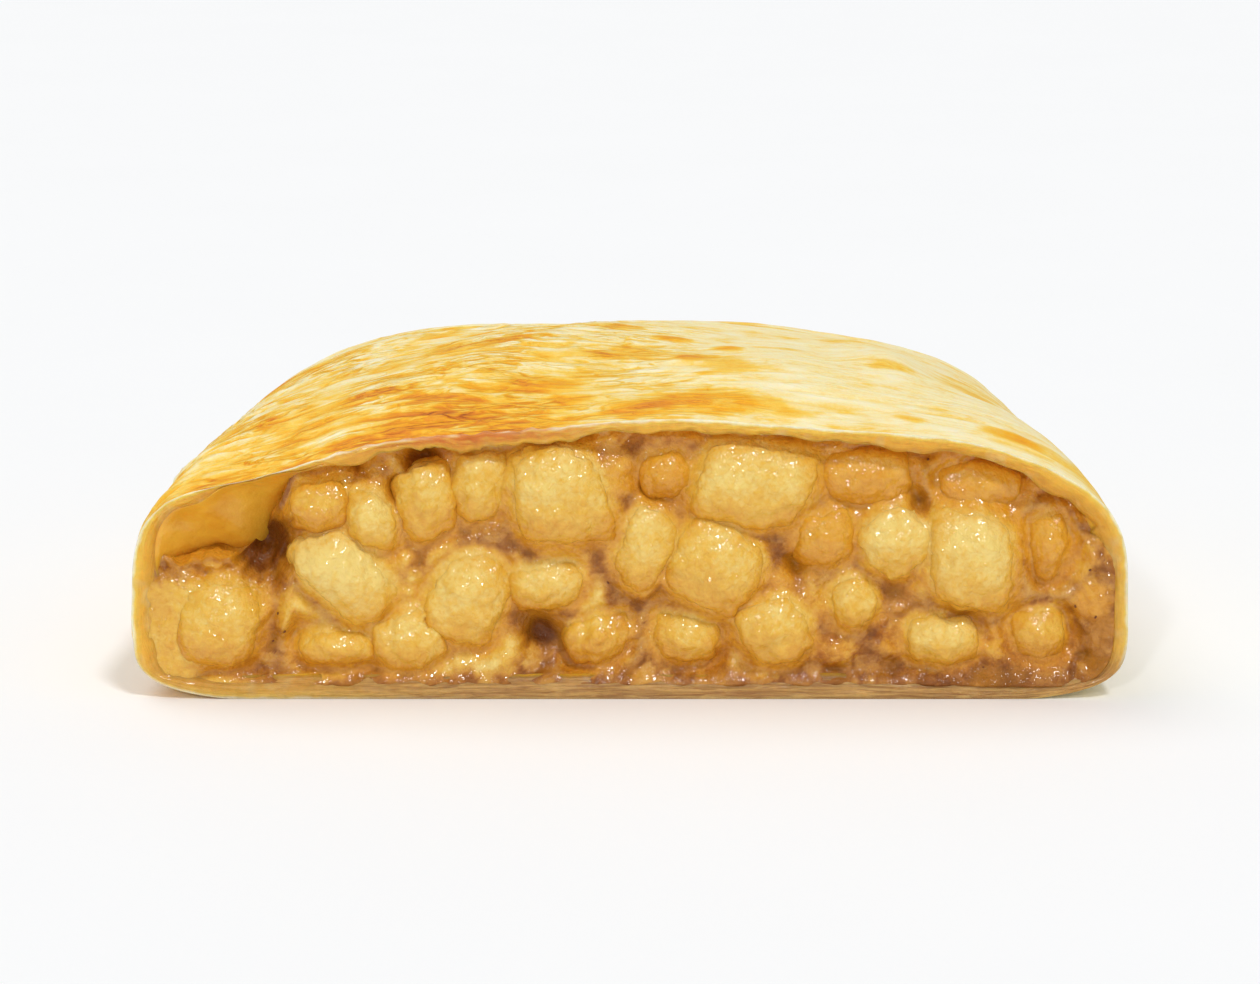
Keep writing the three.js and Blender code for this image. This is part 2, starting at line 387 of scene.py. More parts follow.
def facing(grid: Array) -> Array:
    """Return the outward direction at each point of a grid of rings by columns, the columns closed."""
    along = np.gradient(grid, axis=0)
    around = np.roll(grid, -1, axis=1) - np.roll(grid, 1, axis=1)
    out = np.cross(along, around)
    return out / np.maximum(np.linalg.norm(out, axis=-1, keepdims=True), 1e-9)


# --------------------------------------------------------------------------------------------------
# The form that the dough and the filling share.
# --------------------------------------------------------------------------------------------------


@dataclass(frozen=True)
class Inset:
    """How far a surface lies inside the strudel's skin."""

    top: float = 0.0
    side: float = 0.0
    base: float = 0.0
    end: float = 0.0


@dataclass(frozen=True)
class StrudelForm:
    """The arched section and the closed end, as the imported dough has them."""

    width: float
    length: float
    front: float
    cut_top: float = 28.2
    crown_rise: float = 3.6
    crown_at: float = 0.5
    waist: float = 10.0
    side_taper: float = 0.1
    cut_power: float = 3.2
    crown_power: float = 2.3
    end_arch_power: float = 2.9
    base_power: float = 5.5
    plan_power: float = 5.6
    end_power: float = 3.1
    base_press: float = 0.7
    droop_depth: float = 3.0
    droop_at: float = -37.0
    droop_across: float = 11.0
    droop_back: float = 16.0

    @classmethod
    def from_frame(cls) -> "StrudelForm":
        """Return the form with the width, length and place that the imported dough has."""
        low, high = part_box("dough_shell")
        return cls(width=(high.x - low.x) / MM, length=(high.y - low.y) / MM, front=low.y / MM)

    def ridge(self, depth: Array) -> Array:
        """Return the height over the middle of the section."""
        climb = np.sin(np.minimum(1, depth / (self.length * self.crown_at)) * np.pi / 2)
        return self.cut_top + self.crown_rise * climb

    def swell(self, across: Array, depth: Array) -> Array:
        """Return the slow swells of the baked crust."""
        slow = 0.5 * np.sin(across * 0.085 + 0.6) * np.cos(depth * 0.075 + 0.3)
        return slow + 0.35 * np.sin(across * 0.19 - depth * 0.13 + 1.1)

    def arch(self, share: Array) -> Array:
        """Return how square the section is above the waist, at a share of the length."""
        behind_cut = self.cut_power + (self.crown_power - self.cut_power) * smooth(share, 0, self.crown_at)
        return behind_cut + (self.end_arch_power - behind_cut) * smooth(share, self.crown_at, 0.95)

    def top(self, across: Array, depth: Array, inset: Inset, steep: Array) -> Array:
        """Return the height of the arch over a place, were the section a box.

        Args:
            across: distance from the middle.
            depth: distance behind the cut.
            inset: how far the surface lies inside the skin.
            steep: 1 on the crown and 0 at the waist.

        Returns:
            The height above the base.
        """
        sag = self.droop_depth * hill(across, self.droop_at, self.droop_across)
        sag = sag * np.exp(-depth / self.droop_back)
        return self.ridge(depth) - inset.top - sag + self.swell(across, depth) * steep

    def half(self, share: Array, inset: Inset) -> Array:
        """Return half the width at a share of the length."""
        taper = 1 - self.side_taper * share
        return (self.width / 2 - inset.side) * taper * closing(share, self.plan_power)

    def point(self, angle: Array, depth: Array, inset: Inset) -> Array:
        """Return points of a surface.

        Args:
            angle: direction from the middle of the waist line, in radians; a quarter turn is the crown.
            depth: distance behind the cut.
            inset: how far the surface lies inside the skin.

        Returns:
            Points in millimetres, with the distance behind the cut as y.
        """
        angle, depth = np.broadcast_arrays(angle, depth)
        share = np.clip(depth / (self.length - inset.end), 0, 1)
        upper = np.sin(angle) >= 0
        power = np.where(upper, self.arch(share), self.base_power)
        cos, sin = np.abs(np.cos(angle)), np.abs(np.sin(angle))
        radius = (cos**power + sin**power) ** (-1 / power)
        across = self.half(share, inset) * np.sign(np.cos(angle)) * radius * cos
        reach = radius * sin
        high = self.top(across, depth, inset, reach ** (power / 2)) - self.waist
        high = self.waist + high * closing(share, self.end_power) * reach
        low = self.waist - (self.waist + self.base_press) * closing(share, self.base_power) * reach
        return np.stack([across, depth, np.where(upper, high, np.maximum(inset.base, low))], axis=-1)

    def heights(self, aside: Array, depth: Array, inset: Inset) -> tuple[Array, Array, Array]:
        """Return where the section stands, how low and how high it reaches, at a share of its half width.

        Args:
            aside: share of the half width, from -1 to 1.
            depth: distance behind the cut.
            inset: how far the surface lies inside the skin.

        Returns:
            Distance from the middle, lowest height and highest height.
        """
        aside, depth = np.broadcast_arrays(aside, depth)
        share = np.clip(depth / (self.length - inset.end), 0, 1)
        across = self.half(share, inset) * aside
        side = np.clip(np.abs(aside), 0, 1)
        power = self.arch(share)
        left = 1 - side**power
        high = (self.top(across, depth, inset, np.sqrt(left)) - self.waist) * closing(share, self.end_power)
        high = self.waist + high * left ** (1 / power)
        drop = (self.waist + self.base_press) * closing(share, self.base_power)
        drop = drop * closing(side, self.base_power)
        return across, np.maximum(inset.base, self.waist - drop), high


# --------------------------------------------------------------------------------------------------
# Finishes.
# --------------------------------------------------------------------------------------------------


def add_node(tree: bpy.types.NodeTree, kind: str, inputs: dict | None = None, stops: tuple = (),
             **settings: object) -> bpy.types.Node:
    """Add a node to a tree.

    Args:
        tree: the material's or the modifier's node tree.
        kind: Blender's name of the node.
        inputs: for each input, by name or number, a value or the output that feeds it.
        stops: places and hex colours of a colour ramp.
        settings: the node's own settings.

    Returns:
        The new node.
    """
    node = tree.nodes.new(kind)
    for name, value in settings.items():
        setattr(node, name, value)
    for place, value in (inputs or {}).items():
        if isinstance(value, Socket):
            tree.links.new(value, node.inputs[place])
        else:
            node.inputs[place].default_value = value
    for number, (place, colour) in enumerate(stops):
        elements = node.color_ramp.elements
        element = elements[number] if number < 2 else elements.new(place)
        element.position = place
        element.color = linear(colour)
    return node


@dataclass(frozen=True)
class Weave:
    """A material in the making, with the kinds of node that the finishes share."""

    material: bpy.types.Material

    @classmethod
    def named(cls, name: str) -> "Weave":
        """Return a new material with an empty tree."""
        material = bpy.data.materials.new(name)
        material.use_nodes = True
        material.node_tree.nodes.clear()
        return cls(material)

    def node(self, kind: str, inputs: dict | None = None, output: str | int = 0,
             **settings: object) -> Socket:
        """Add a node and return one of its outputs."""
        return add_node(self.material.node_tree, kind, inputs, **settings).outputs[output]

    def mark(self, name: str, output: str = "Fac") -> Socket:
        """Return what the mesh stores for each corner under a name."""
        return self.node("ShaderNodeAttribute", output=output, attribute_name=name)

    def place(self) -> Socket:
        """Return the place on the object, in metres."""
        return self.node("ShaderNodeTexCoord", output="Object")

    def stretched(self, place: Socket, *sizes: float) -> Socket:
        """Return a place in units of a pattern's three sizes."""
        return self.node("ShaderNodeMapping", {"Vector": place, "Scale": [1 / size for size in sizes]})

    def noise(self, place: Socket, size: float, detail: float = 2.0, rough: float = 0.5,
              twist: float = 0.0) -> Socket:
        """Return a noise of a size, about a half in the mean."""
        return self.node("ShaderNodeTexNoise", {
            "Vector": place, "Scale": 1 / size, "Detail": detail, "Roughness": rough, "Distortion": twist})

    def maths(self, operation: str, *values: Socket | float) -> Socket:
        """Return the result of a calculation on up to three values."""
        return self.node("ShaderNodeMath", dict(enumerate(values)), operation=operation)

    def varied(self, value: Socket, noise: Socket, share: float) -> Socket:
        """Return a value with a share of a noise added, the noise taken evenly about zero."""
        return self.maths("MULTIPLY_ADD", self.maths("SUBTRACT", noise, 0.5), share, value)

    def ranged(self, value: Socket, low: float, high: float, first: float = 0.0, last: float = 1.0,
               **settings: object) -> Socket:
        """Return a value carried from the range low to high to the range first to last."""
        return self.node("ShaderNodeMapRange", {
            "Value": value, "From Min": low, "From Max": high, "To Min": first, "To Max": last}, **settings)

    def ramp(self, shade: Socket, stops: tuple) -> Socket:
        """Return the colour that a shade has between stops."""
        return self.node("ShaderNodeValToRGB", {"Fac": shade}, "Color", stops=stops)

    def mixed(self, share: Socket | float, first: Socket | str, second: Socket | str) -> Socket:
        """Return a mix of two colours, by the share of the second."""
        pair = [linear(colour) if isinstance(colour, str) else colour for colour in (first, second)]
        return self.node("ShaderNodeMix", {0: share, 6: pair[0], 7: pair[1]}, 2, data_type="RGBA")

    def bump(self, height: Socket, strength: float, deep_mm: float, under: Socket | None = None,
             **settings: object) -> Socket:
        """Return where the surface faces once a pattern stands out of it."""
        inputs = {"Height": height, "Strength": strength, "Distance": deep_mm * MM}
        if under is not None:
            inputs["Normal"] = under
        return self.node("ShaderNodeBump", inputs, **settings)

    def finished(self, colour: Socket, roughness: Socket | float, ior: float,
                 more: dict | None = None) -> bpy.types.Material:
        """Shade the surface and return the material.

        Args:
            colour: its colour.
            roughness: its roughness.
            ior: its index of refraction.
            more: other inputs of the shader, by name.

        Returns:
            The finished material.
        """
        shader = self.node("ShaderNodeBsdfPrincipled", {
            "Base Color": colour, "Roughness": roughness, "IOR": ior, **(more or {})})
        add_node(self.material.node_tree, "ShaderNodeOutputMaterial", {"Surface": shader})
        return self.material


@dataclass(frozen=True)
class Glow:
    """How light spreads inside a soft thing: how much, how far, and how far each colour reaches."""

    weight: float
    far_mm: float
    reach: tuple[float, float, float]

    def inputs(self) -> dict:
        """Return the inputs of the shader."""
        return {"Subsurface Weight": self.weight, "Subsurface Radius": self.reach,
                "Subsurface Scale": self.far_mm * MM}


@dataclass(frozen=True)
class Coat:
    """A clear wet coat over a finish."""

    weight: float
    roughness: float

    def inputs(self) -> dict:
        """Return the inputs of the shader."""
        return {"Coat Weight": self.weight, "Coat Roughness": self.roughness}


@dataclass(frozen=True)
class BakedCrust:
    """Thin wheat dough baked to a dry, papery skin: matte cream, golden to brown where it has coloured."""

    stops: tuple = (
        (0.0, "#fff7da"), (0.15, "#ffecb0"), (0.3, "#fdd056"), (0.45, "#f8b41c"),
        (0.6, "#ee981a"), (0.75, "#da7c1c"), (0.88, "#b05a14"), (1.0, "#7b3d0c"),
    )
    roughness: float = 0.56
    ior: float = 1.36
    glow: Glow = Glow(0.2, 1.4, (1.0, 0.55, 0.22))
    crease_long_mm: float = 9.0
    crease_wide_mm: float = 2.5
    crease_soft: float = 0.085
    crease_shade: float = 0.25
    crease_bump_mm: float = 0.35
    finer: float = 0.45
    patch_mm: float = 9.0
    mottle_mm: float = 2.4
    mottle_tone: float = 0.3
    grit_mm: float = 0.45
    grit_tone: float = 0.12
    grit_bump_mm: float = 0.14

    def creases(self, weave: Weave, size: float) -> Socket:
        """Return thin crease lines that run along the arch: one in a line and zero beside it."""
        along = weave.stretched(
            weave.mark("skin", "Vector"), self.crease_long_mm * size, self.crease_wide_mm * size, 1.0)
        off = weave.maths("SUBTRACT", weave.noise(along, 1.0, twist=1.1), 0.5)
        return weave.ranged(weave.maths("ABSOLUTE", off), 0.0, self.crease_soft, 1.0, 0.0,
                            interpolation_type="SMOOTHSTEP")

    def build(self) -> bpy.types.Material:
        """Return the material, which reads the mesh's skin, toast and creased attributes."""
        weave = Weave.named("baked strudel crust")
        place = weave.place()
        lines = weave.maths("MULTIPLY_ADD", self.creases(weave, self.finer), 0.5, self.creases(weave, 1.0))
        lines = weave.maths("MULTIPLY", lines, weave.mark("creased"))
        patch = weave.noise(place, self.patch_mm * MM)
        lines = weave.maths("MULTIPLY", lines, weave.ranged(patch, 0.36, 0.6, 0.25, 1.0))
        mottle = weave.noise(place, self.mottle_mm * MM, 5.0, 0.62)
        grit = weave.noise(place, self.grit_mm * MM, 3.0, 0.6)
        # The crease lines darken the colour as well as the bump: painted shade in the creases.
        shade = weave.maths("MULTIPLY_ADD", lines, self.crease_shade, weave.mark("toast"))
        shade = weave.varied(shade, mottle, self.mottle_tone)
        shade = weave.varied(shade, grit, self.grit_tone)
        rough = weave.ranged(mottle, 0.3, 0.7, self.roughness - 0.08, self.roughness + 0.1)
        bump = weave.bump(lines, 0.6, self.crease_bump_mm, invert=True)
        bump = weave.bump(grit, 0.35, self.grit_bump_mm, bump)
        return weave.finished(weave.ramp(shade, self.stops), rough, self.ior, {
            "Normal": bump, **self.glow.inputs()})


@dataclass(frozen=True)
class CutDough:
    """Steamed dough where the knife has opened it: moist, a little translucent, in thin pressed layers."""

    edge: str = "#fdf1cb"
    outer: str = "#f5ca50"
    middle: str = "#f0b838"
    inner: str = "#e0a026"
    browned: str = "#d67a1e"
    blotch: str = "#f0cf83"
    damp_light: str = "#d0a25a"
    damp_dark: str = "#a06e32"
    roughness: float = 0.34
    ior: float = 1.42
    glow: Glow = Glow(0.45, 1.8, (1.0, 0.6, 0.25))
    coat: Coat = Coat(0.35, 0.14)
    layer_mm: float = 0.32
    layer_long_mm: float = 5.0
    layer_bump_mm: float = 0.3
    crumb_mm: float = 0.8
    crumb_bump_mm: float = 0.25
    patch_mm: float = 2.6

    def build(self) -> bpy.types.Material:
        """Return the material, which reads the mesh's wall, damp, toast and skin attributes."""
        weave = Weave.named("cut steamed dough")
        place = weave.place()
        skin = weave.mark("skin", "Vector")
        sheets = weave.stretched(skin, self.layer_long_mm, self.layer_mm, self.layer_mm)
        layers = weave.noise(sheets, 1.0, 4.0, 0.65, 1.0)
        crumb = weave.noise(place, self.crumb_mm * MM, 4.0, 0.62)
        patch = weave.noise(place, self.patch_mm * MM)
        wander = weave.maths("MULTIPLY_ADD", patch, 0.4, -0.2)
        colour = weave.ramp(weave.maths("ADD", weave.mark("wall"), wander), (
            (0.03, self.edge), (0.15, self.outer), (0.38, self.middle), (0.85, self.inner)))
        colour = weave.mixed(weave.ranged(patch, 0.56, 0.7, 0.0, 0.5), colour, self.blotch)
        sodden = weave.mixed(weave.ranged(layers, 0.38, 0.62), self.damp_dark, self.damp_light)
        colour = weave.mixed(weave.mark("damp"), colour, sodden)
        colour = weave.mixed(weave.mark("toast"), colour, self.browned)
        speckle = weave.ranged(crumb, 0.35, 0.65, 0.94, 1.06)
        colour = weave.node("ShaderNodeVectorMath", {0: colour, 3: speckle}, operation="SCALE")
        bump = weave.bump(crumb, 0.5, self.crumb_bump_mm, weave.bump(layers, 0.7, self.layer_bump_mm))
        return weave.finished(colour, self.roughness, self.ior, {
            "Normal": bump, **self.glow.inputs(), **self.coat.inputs()})


@dataclass(frozen=True)
class SoakedDough:
    """The inner face of the dough, soaked by the juice: amber, wet and smooth."""

    first: str = "#f3b93a"
    light: str = "#de9316"
    dark: str = "#9a4a08"
    roughness: float = 0.3
    ior: float = 1.4
    glow: Glow = Glow(0.35, 2.2, (1.0, 0.5, 0.15))
    coat: Coat = Coat(0.4, 0.12)
    patch_mm: float = 3.5
    bump_mm: float = 0.6

    def build(self) -> bpy.types.Material:
        """Return the material, which reads the mesh's inward attribute."""
        weave = Weave.named("juice soaked dough")
        patch = weave.noise(weave.place(), self.patch_mm * MM, 4.0, 0.6)
        wander = weave.maths("MULTIPLY_ADD", patch, 0.8, -0.4)
        colour = weave.ramp(weave.maths("ADD", weave.mark("inward"), wander), (
            (0.0, self.first), (1.0, self.dark), (0.35, self.light)))
        return weave.finished(colour, self.roughness, self.ior, {
            "Normal": weave.bump(patch, 0.5, self.bump_mm), **self.glow.inputs(), **self.coat.inputs()})


@dataclass(frozen=True)
class CookedFruit:
    """Apple flesh cooked soft in sugar and juice: pale to amber, wet outside and lit from within."""

    name: str
    flesh: tuple = (
        (0.0, "#f6d87a"), (0.25, "#eebc42"), (0.5, "#e2a026"), (0.75, "#bd7414"), (1.0, "#883f08"))
    mashed: tuple = (
        (0.0, "#e4bd6a"), (0.25, "#cd953a"), (0.5, "#b17424"), (0.75, "#8e4f12"), (1.0, "#672d06"))
    syrup: str = "#e29a1a"
    syrup_clear: float = 0.45
    roughness: float = 0.42
    ior: float = 1.34
    glow: Glow = Glow(0.18, 0.9, (1.0, 0.78, 0.36))
    coat: Coat = Coat(1.0, 0.07)
    coat_in_gaps: float = 0.3
    coat_ior: float = 1.5
    patch_mm: float = 2.6
    patch_tone: float = 0.56
    patch_bump_mm: float = 0.5
    fibre_mm: float = 0.6
    fibre_tone: float = 0.62
    fibre_bump_mm: float = 0.34
    film_mm: float = 0.8
    film_bump_mm: float = 0.36

    def build(self) -> bpy.types.Material:
        """Return the material, which reads the mesh's soak, amber and mash attributes."""
        weave = Weave.named(self.name)
        place = weave.place()
        patch = weave.noise(place, self.patch_mm * MM, 4.0, 0.6)
        fibre = weave.noise(place, self.fibre_mm * MM, 4.0, 0.6, 0.4)
        film = weave.noise(place, self.film_mm * MM, 1.0)
        # The tone attribute read here holds each surface's own tone, with painted shade and painted
        # highlights added to it.
        shade = weave.varied(weave.mark("soak"), patch, self.patch_tone)
        shade = weave.varied(shade, fibre, self.fibre_tone)
        flesh, mashed = weave.ramp(shade, self.flesh), weave.ramp(shade, self.mashed)
        colour = weave.mixed(weave.mark("mash"), flesh, mashed)
        gold = weave.mixed(self.syrup_clear, self.syrup, colour)
        colour = weave.mixed(weave.mark("amber"), colour, gold)
        rough = weave.ranged(patch, 0.3, 0.7, self.roughness - 0.1, self.roughness + 0.12)
        bump = weave.bump(patch, 0.5, self.patch_bump_mm)
        bump = weave.bump(fibre, 0.7, self.fibre_bump_mm, bump)
        coat = weave.ranged(shade, 0.5, 0.9, self.coat.weight, self.coat_in_gaps)
        return weave.finished(colour, rough, self.ior, {
            "Normal": bump, **self.glow.inputs(), **self.coat.inputs(), "Coat Weight": coat,
            "Coat IOR": self.coat_ior, "Coat Normal": weave.bump(film, 1.0, self.film_bump_mm)})


@dataclass(frozen=True)
class PlainFinish:
    """A finish of one tone with a little unevenness, for specks and for the floor."""

    name: str
    colour: str
    darker: str
    roughness: float
    grain_mm: float
    ior: float = 1.45

    def build(self) -> bpy.types.Material:
        """Return the material."""
        weave = Weave.named(self.name)
        grain_noise = weave.noise(weave.place(), self.grain_mm * MM, 3.0)
        return weave.finished(weave.mixed(grain_noise, self.darker, self.colour), self.roughness, self.ior)


class Slot(Enum):
    """The material slots that the pieces are logged under."""

    DOUGH = "baked_dough"
    FILLING = "filling"
    APPLE = "apple_flesh"


def hand_in(piece: bpy.types.Object, slot: Slot, replaces: tuple[str, ...] = ()) -> None:
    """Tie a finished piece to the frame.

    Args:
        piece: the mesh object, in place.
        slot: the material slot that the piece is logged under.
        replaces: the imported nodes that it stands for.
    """
    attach(piece, "root")
    if replaces:
        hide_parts(*replaces)
    LOG.info("%s: %d faces, slot %s", piece.name, len(piece.data.polygons), slot.value)


# --------------------------------------------------------------------------------------------------
# The dough.
# --------------------------------------------------------------------------------------------------


@dataclass(frozen=True)
class Spot:
    """A browned spot of the crust: its middle, half its length along the arch and half its depth."""

    across: float
    back: float
    long: float
    deep: float
    toast: float
    rise: float = 0.0

    def reach(self, across: Array, depth: Array) -> Array:
        """Return how far points lie from the middle, with one at half the length or half the depth."""
        return np.hypot((across - self.across) / self.long, (depth - self.back) / self.deep)


@dataclass
class DoughShell:
    """The baked shell, with its wrinkled skin, its knife-cut edge and the soaked inside."""

    form: StrudelForm
    wall: Inset = Inset(top=1.5, side=2.7, base=2.2, end=3.2)
    # The mesh: how finely its curves are measured, and how far apart its columns and rings are.
    arch_samples: int = 40001
    plan_samples: int = 20001
    arch_step: float = 0.47
    base_step: float = 1.6
    ring_step: tuple[float, float, float] = (0.26, 0.55, 1.0)
    inner_step: tuple[float, float, float] = (0.45, 2.0, 5.0)
    edge_rings: int = 13
    edge_crowd: float = 1.6
    # The cut edge, and how the inner face sags and thins behind it.
    rim_fade: float = 2.5
    lean_fade: float = 1.5
    curtain: float = 8.5
    curtain_at: float = -41.0
    curtain_wide: float = 6.5
    curtain_end: tuple[float, float] = (9.0, 18.0)
    sag_end: tuple[float, float] = (30.0, 45.0)
    thinned: float = 1.2
    thin_fade: float = 1.2
    soaked_by: float = 14.0
    least_soaked: float = 0.08
    thick_wall: float = 2.4
    knife: float = 0.08
    crisp: float = 0.05
    # How high each size of wrinkle stands, and where along the arch the rim is torn.
    wrinkle: tuple[float, float, float] = (0.66, 0.34, 0.18)
    torn_at: float = -19.0
    torn_rim: float = 13.0
    torn_edge: float = 12.0
    # How browned the skin is, from 0 to 1: its palest, and what each cause adds.
    palest: float = 0.13
    left_toast: float = 0.22
    patch_toast: float = 0.3
    fleck_toast: float = 0.1
    rim_toast: float = 0.22
    end_toast: float = 0.18
    shoulder_toast: float = 0.1
    foot_toast: float = 0.12
    # The next tone is painted light on the wrinkles' ridges and painted shade in their valleys.
    crease_shading: float = 0.4
    brownest: float = 0.64
    # The tuck and the flap at the closed end.
    seam_deep: float = 0.9
    flap_edge: float = 57.0
    flap_high: float = 0.35
    blisters: tuple[Spot, ...] = (
        Spot(6.0, 23.0, 1.5, 2.0, 0.46, 0.35),
        Spot(10.5, 29.0, 1.8, 2.2, 0.4, 0.3),
        Spot(-3.0, 24.0, 2.2, 1.4, 0.34, 0.2),
        Spot(4.5, 34.0, 2.4, 2.0, 0.42, 0.3),
        Spot(7.5, 15.5, 1.4, 0.9, 0.3, 0.1),
        Spot(-12.5, 30.0, 3.0, 1.8, 0.34, 0.2),
        Spot(-9.5, 13.0, 4.2, 2.8, 0.34, 0.1),
        Spot(-6.0, 8.5, 3.0, 1.6, 0.26, 0.1),
        Spot(1.0, 4.2, 3.6, 2.2, 0.3, 0.1),
        Spot(9.0, 5.4, 8.5, 3.6, 0.34, 0.1),
        Spot(16.5, 3.4, 2.4, 1.6, 0.22, 0.1),
        Spot(28.0, 5.5, 1.9, 1.3, 0.2, 0.1),
        Spot(38.5, 6.0, 3.4, 2.2, 0.4, 0.1),
        Spot(-32.0, 8.5, 3.6, 2.0, 0.2, 0.1),
        Spot(-26.5, 13.5, 4.4, 1.8, 0.2, 0.1),
        Spot(-19.0, 5.0, 8.0, 4.5, 0.12, 0.0),
    )

    def columns(self) -> Array:
        """Return the angles of the mesh's columns: close on the arch, wide on the flat base."""
        angle = np.linspace(-np.pi / 2, 1.5 * np.pi, self.arch_samples)
        line = self.form.point(angle, 0.0, Inset())
        length = np.concatenate([[0], np.cumsum(np.linalg.norm(np.diff(line, axis=0), axis=1))])
        spacing = self.base_step + (self.arch_step - self.base_step) * smooth(line[:, 2], 0.05, 1.2)
        return at_spacing(length, angle, spacing)[:-1]

    def depths(self, inset: Inset, steps: tuple[float, float, float]) -> Array:
        """Return the depths of the rings from the cut to the closed end, by their spacing along the plan."""
        length = self.form.length - inset.end
        share = 1 - (1 - np.linspace(0, 1, self.plan_samples)) ** 4
        plan = np.stack([self.form.half(share, inset), share * length], axis=-1)
        run = np.concatenate([[0], np.cumsum(np.linalg.norm(np.diff(plan, axis=0), axis=1))])
        near, middle, far = steps
        spacing = near + (middle - near) * smooth(run, 7, 24) + (far - middle) * smooth(run, 62, 80)
        depths = at_spacing(run, share * length, spacing)[:-1]
        return np.concatenate([depths[:1], depths[:1] + self.crisp, depths[1:]])

    def arc(self, grid: Array) -> Array:
        """Return how far along the arch each point lies, from the crown, negative on the left."""
        steps = np.linalg.norm(np.diff(grid, axis=1), axis=-1)
        run = np.concatenate([np.zeros((len(grid), 1)), np.cumsum(steps, axis=1)], axis=1)
        crown = np.argmax(grid[0, :, 2] - 0.02 * np.abs(grid[0, :, 0]))
        return -(run - run[:, crown : crown + 1])

    def wrinkles(self, across: Array, arc: Array, depth: Array) -> Array:
        """Return the papery wrinkles that run along the arch, in millimetres of height."""
        waver = grain(11, arc / 16, depth / 9, layers=2) * 2.2
        lines = grain(12, arc / 15, (depth + waver) / 2.3, 3.0)
        fine = grain(13, arc / 7, (depth + waver) / 1.15, 5.0)
        finest = grain(15, arc / 4, (depth + waver) / 0.7, 9.0)
        ridges = 0.5 - np.sqrt(np.abs(lines) + 0.01)
        patchy = 0.65 + 0.45 * grain(14, arc / 18, depth / 14)
        broad, small, least = self.wrinkle
        height = broad * ridges + small * fine + least * finest
        return height * self.creased(across, depth) * patchy

    def creased(self, across: Array, depth: Array) -> Array:
        """Return how strongly the skin is creased: most on the left behind the cut, least on the right."""
        left = smooth(-across, -20, 14)
        behind = smooth(depth, 30, 60)
        tucked = smooth(depth, 0.8 * self.form.length, 0.97 * self.form.length)
        return (0.3 + 0.7 * left * (1 - 0.45 * behind)) * (1 - 0.85 * tucked)

    def browning(self, points: Array, arc: Array, depth: Array, relief: Array) -> Array:
        """Return how far the oven has browned each point, from 0 for cream to 1 for dark brown, with painted
        light on the wrinkles' ridges and painted shade in their valleys.
        """
        form = self.form
        across, up = points[..., 0], points[..., 2]
        patches = grain(21, arc / 13, depth / 10, 1.0, layers=3)
        small = grain(22, arc / 5.0, depth / 4.0, 2.0, layers=3)
        streaks = grain(23, arc / 9, depth / 1.7, 4.0, layers=2)
        front = np.exp(-depth / 18)
        left = smooth(-across, -14, 16)
        far_left = smooth(-across, 30, 44)
        toast = self.palest + self.left_toast * left * front - 0.04 * far_left * front
        toast += self.patch_toast * smooth(patches, 0.1, 0.75) * (1 - 0.6 * front)
        toast += (self.fleck_toast * smooth(small, 0.2, 0.8) * (0.4 + 0.6 * left)
                  + self.fleck_toast * streaks * (0.35 + 0.65 * left))
        flaky = hill(across, self.torn_at, self.torn_rim) * hill(depth, 2, 8)
        toast += (self.rim_toast * flaky * (0.7 + 1.6 * streaks)
                  - self.rim_toast * flaky * smooth(-small, 0.1, 0.6))
        end = smooth(depth, form.length * 0.72, form.length * 0.98)
        toast += self.end_toast * end * (0.6 + 0.8 * small)
        shoulder = smooth(np.abs(across), form.width * 0.34, form.width * 0.46)
        toast += (0.14 * end + self.shoulder_toast * smooth(depth, 10, 40)) * shoulder
        toast += self.foot_toast * hill(up, 1.5, 3.0) * smooth(depth, 6, 30)
        # Painted light and shade: paler on the wrinkles' ridges, browner in their valleys.
        toast -= self.crease_shading * relief
        for spot in self.blisters:
            ragged = spot.reach(across, depth) * (1 + 0.22 * small + 0.16 * streaks)
            toast += spot.toast * (1 - smooth(ragged, 0.35, 1.25))
        brownest = self.brownest + 0.22 * end
        return np.clip(brownest * np.tanh(toast / brownest), 0.02, 1.0)

    def blister_rise(self, points: Array, depth: Array) -> Array:
        """Return the low domes of the browned blisters."""
        rise = np.zeros(depth.shape)
        for spot in self.blisters:
            rise += spot.rise * np.exp(-(spot.reach(points[..., 0], depth) ** 2))
        return rise

    def folds(self, points: Array, arc: Array, depth: Array) -> Array:
        """Return the tuck where the closed end was folded under, and the flap's faint outline behind it."""
        share = depth / self.form.length
        seam_height = self.form.waist + 1.2 + 1.4 * np.sin(points[..., 0] * 0.07 + 0.5)
        tuck = -self.seam_deep * hill(points[..., 2], seam_height, 0.9) * smooth(share, 0.93, 0.985)
        flap_edge = self.flap_edge + 1.6 * np.sin(arc * 0.09 + 1.0)
        step = smooth(depth, flap_edge - 0.8, flap_edge + 0.9) - 0.5
        step = self.flap_high * step * smooth(points[..., 2], 4, 12)
        return tuck + step * (1 - smooth(share, 0.8, 0.93))

    def ear(self, points: Array, depth: Array) -> Array:
        """Return the small peak that the crust has on its right shoulder."""
        across = points[..., 0]
        peak = 1.0 * hill(across, 27.5, 3.4) * hill(depth, 31, 8)
        return peak - 0.5 * hill(across, 21, 4) * hill(depth, 31, 10)

    def rim_wander(self, arc: Array) -> Array:
        """Return how far behind the cut the edge of the crust lies, where the knife has torn it."""
        slow = grain(31, arc / 6.0, 0.0)
        fast = grain(32, arc / 1.5, 0.0)
        flaky = hill(arc, self.torn_at, self.torn_rim)
        return np.clip(0.1 + 0.16 * slow + (0.12 + 0.8 * flaky) * fast + 0.3 * flaky, 0.02, 1.7)

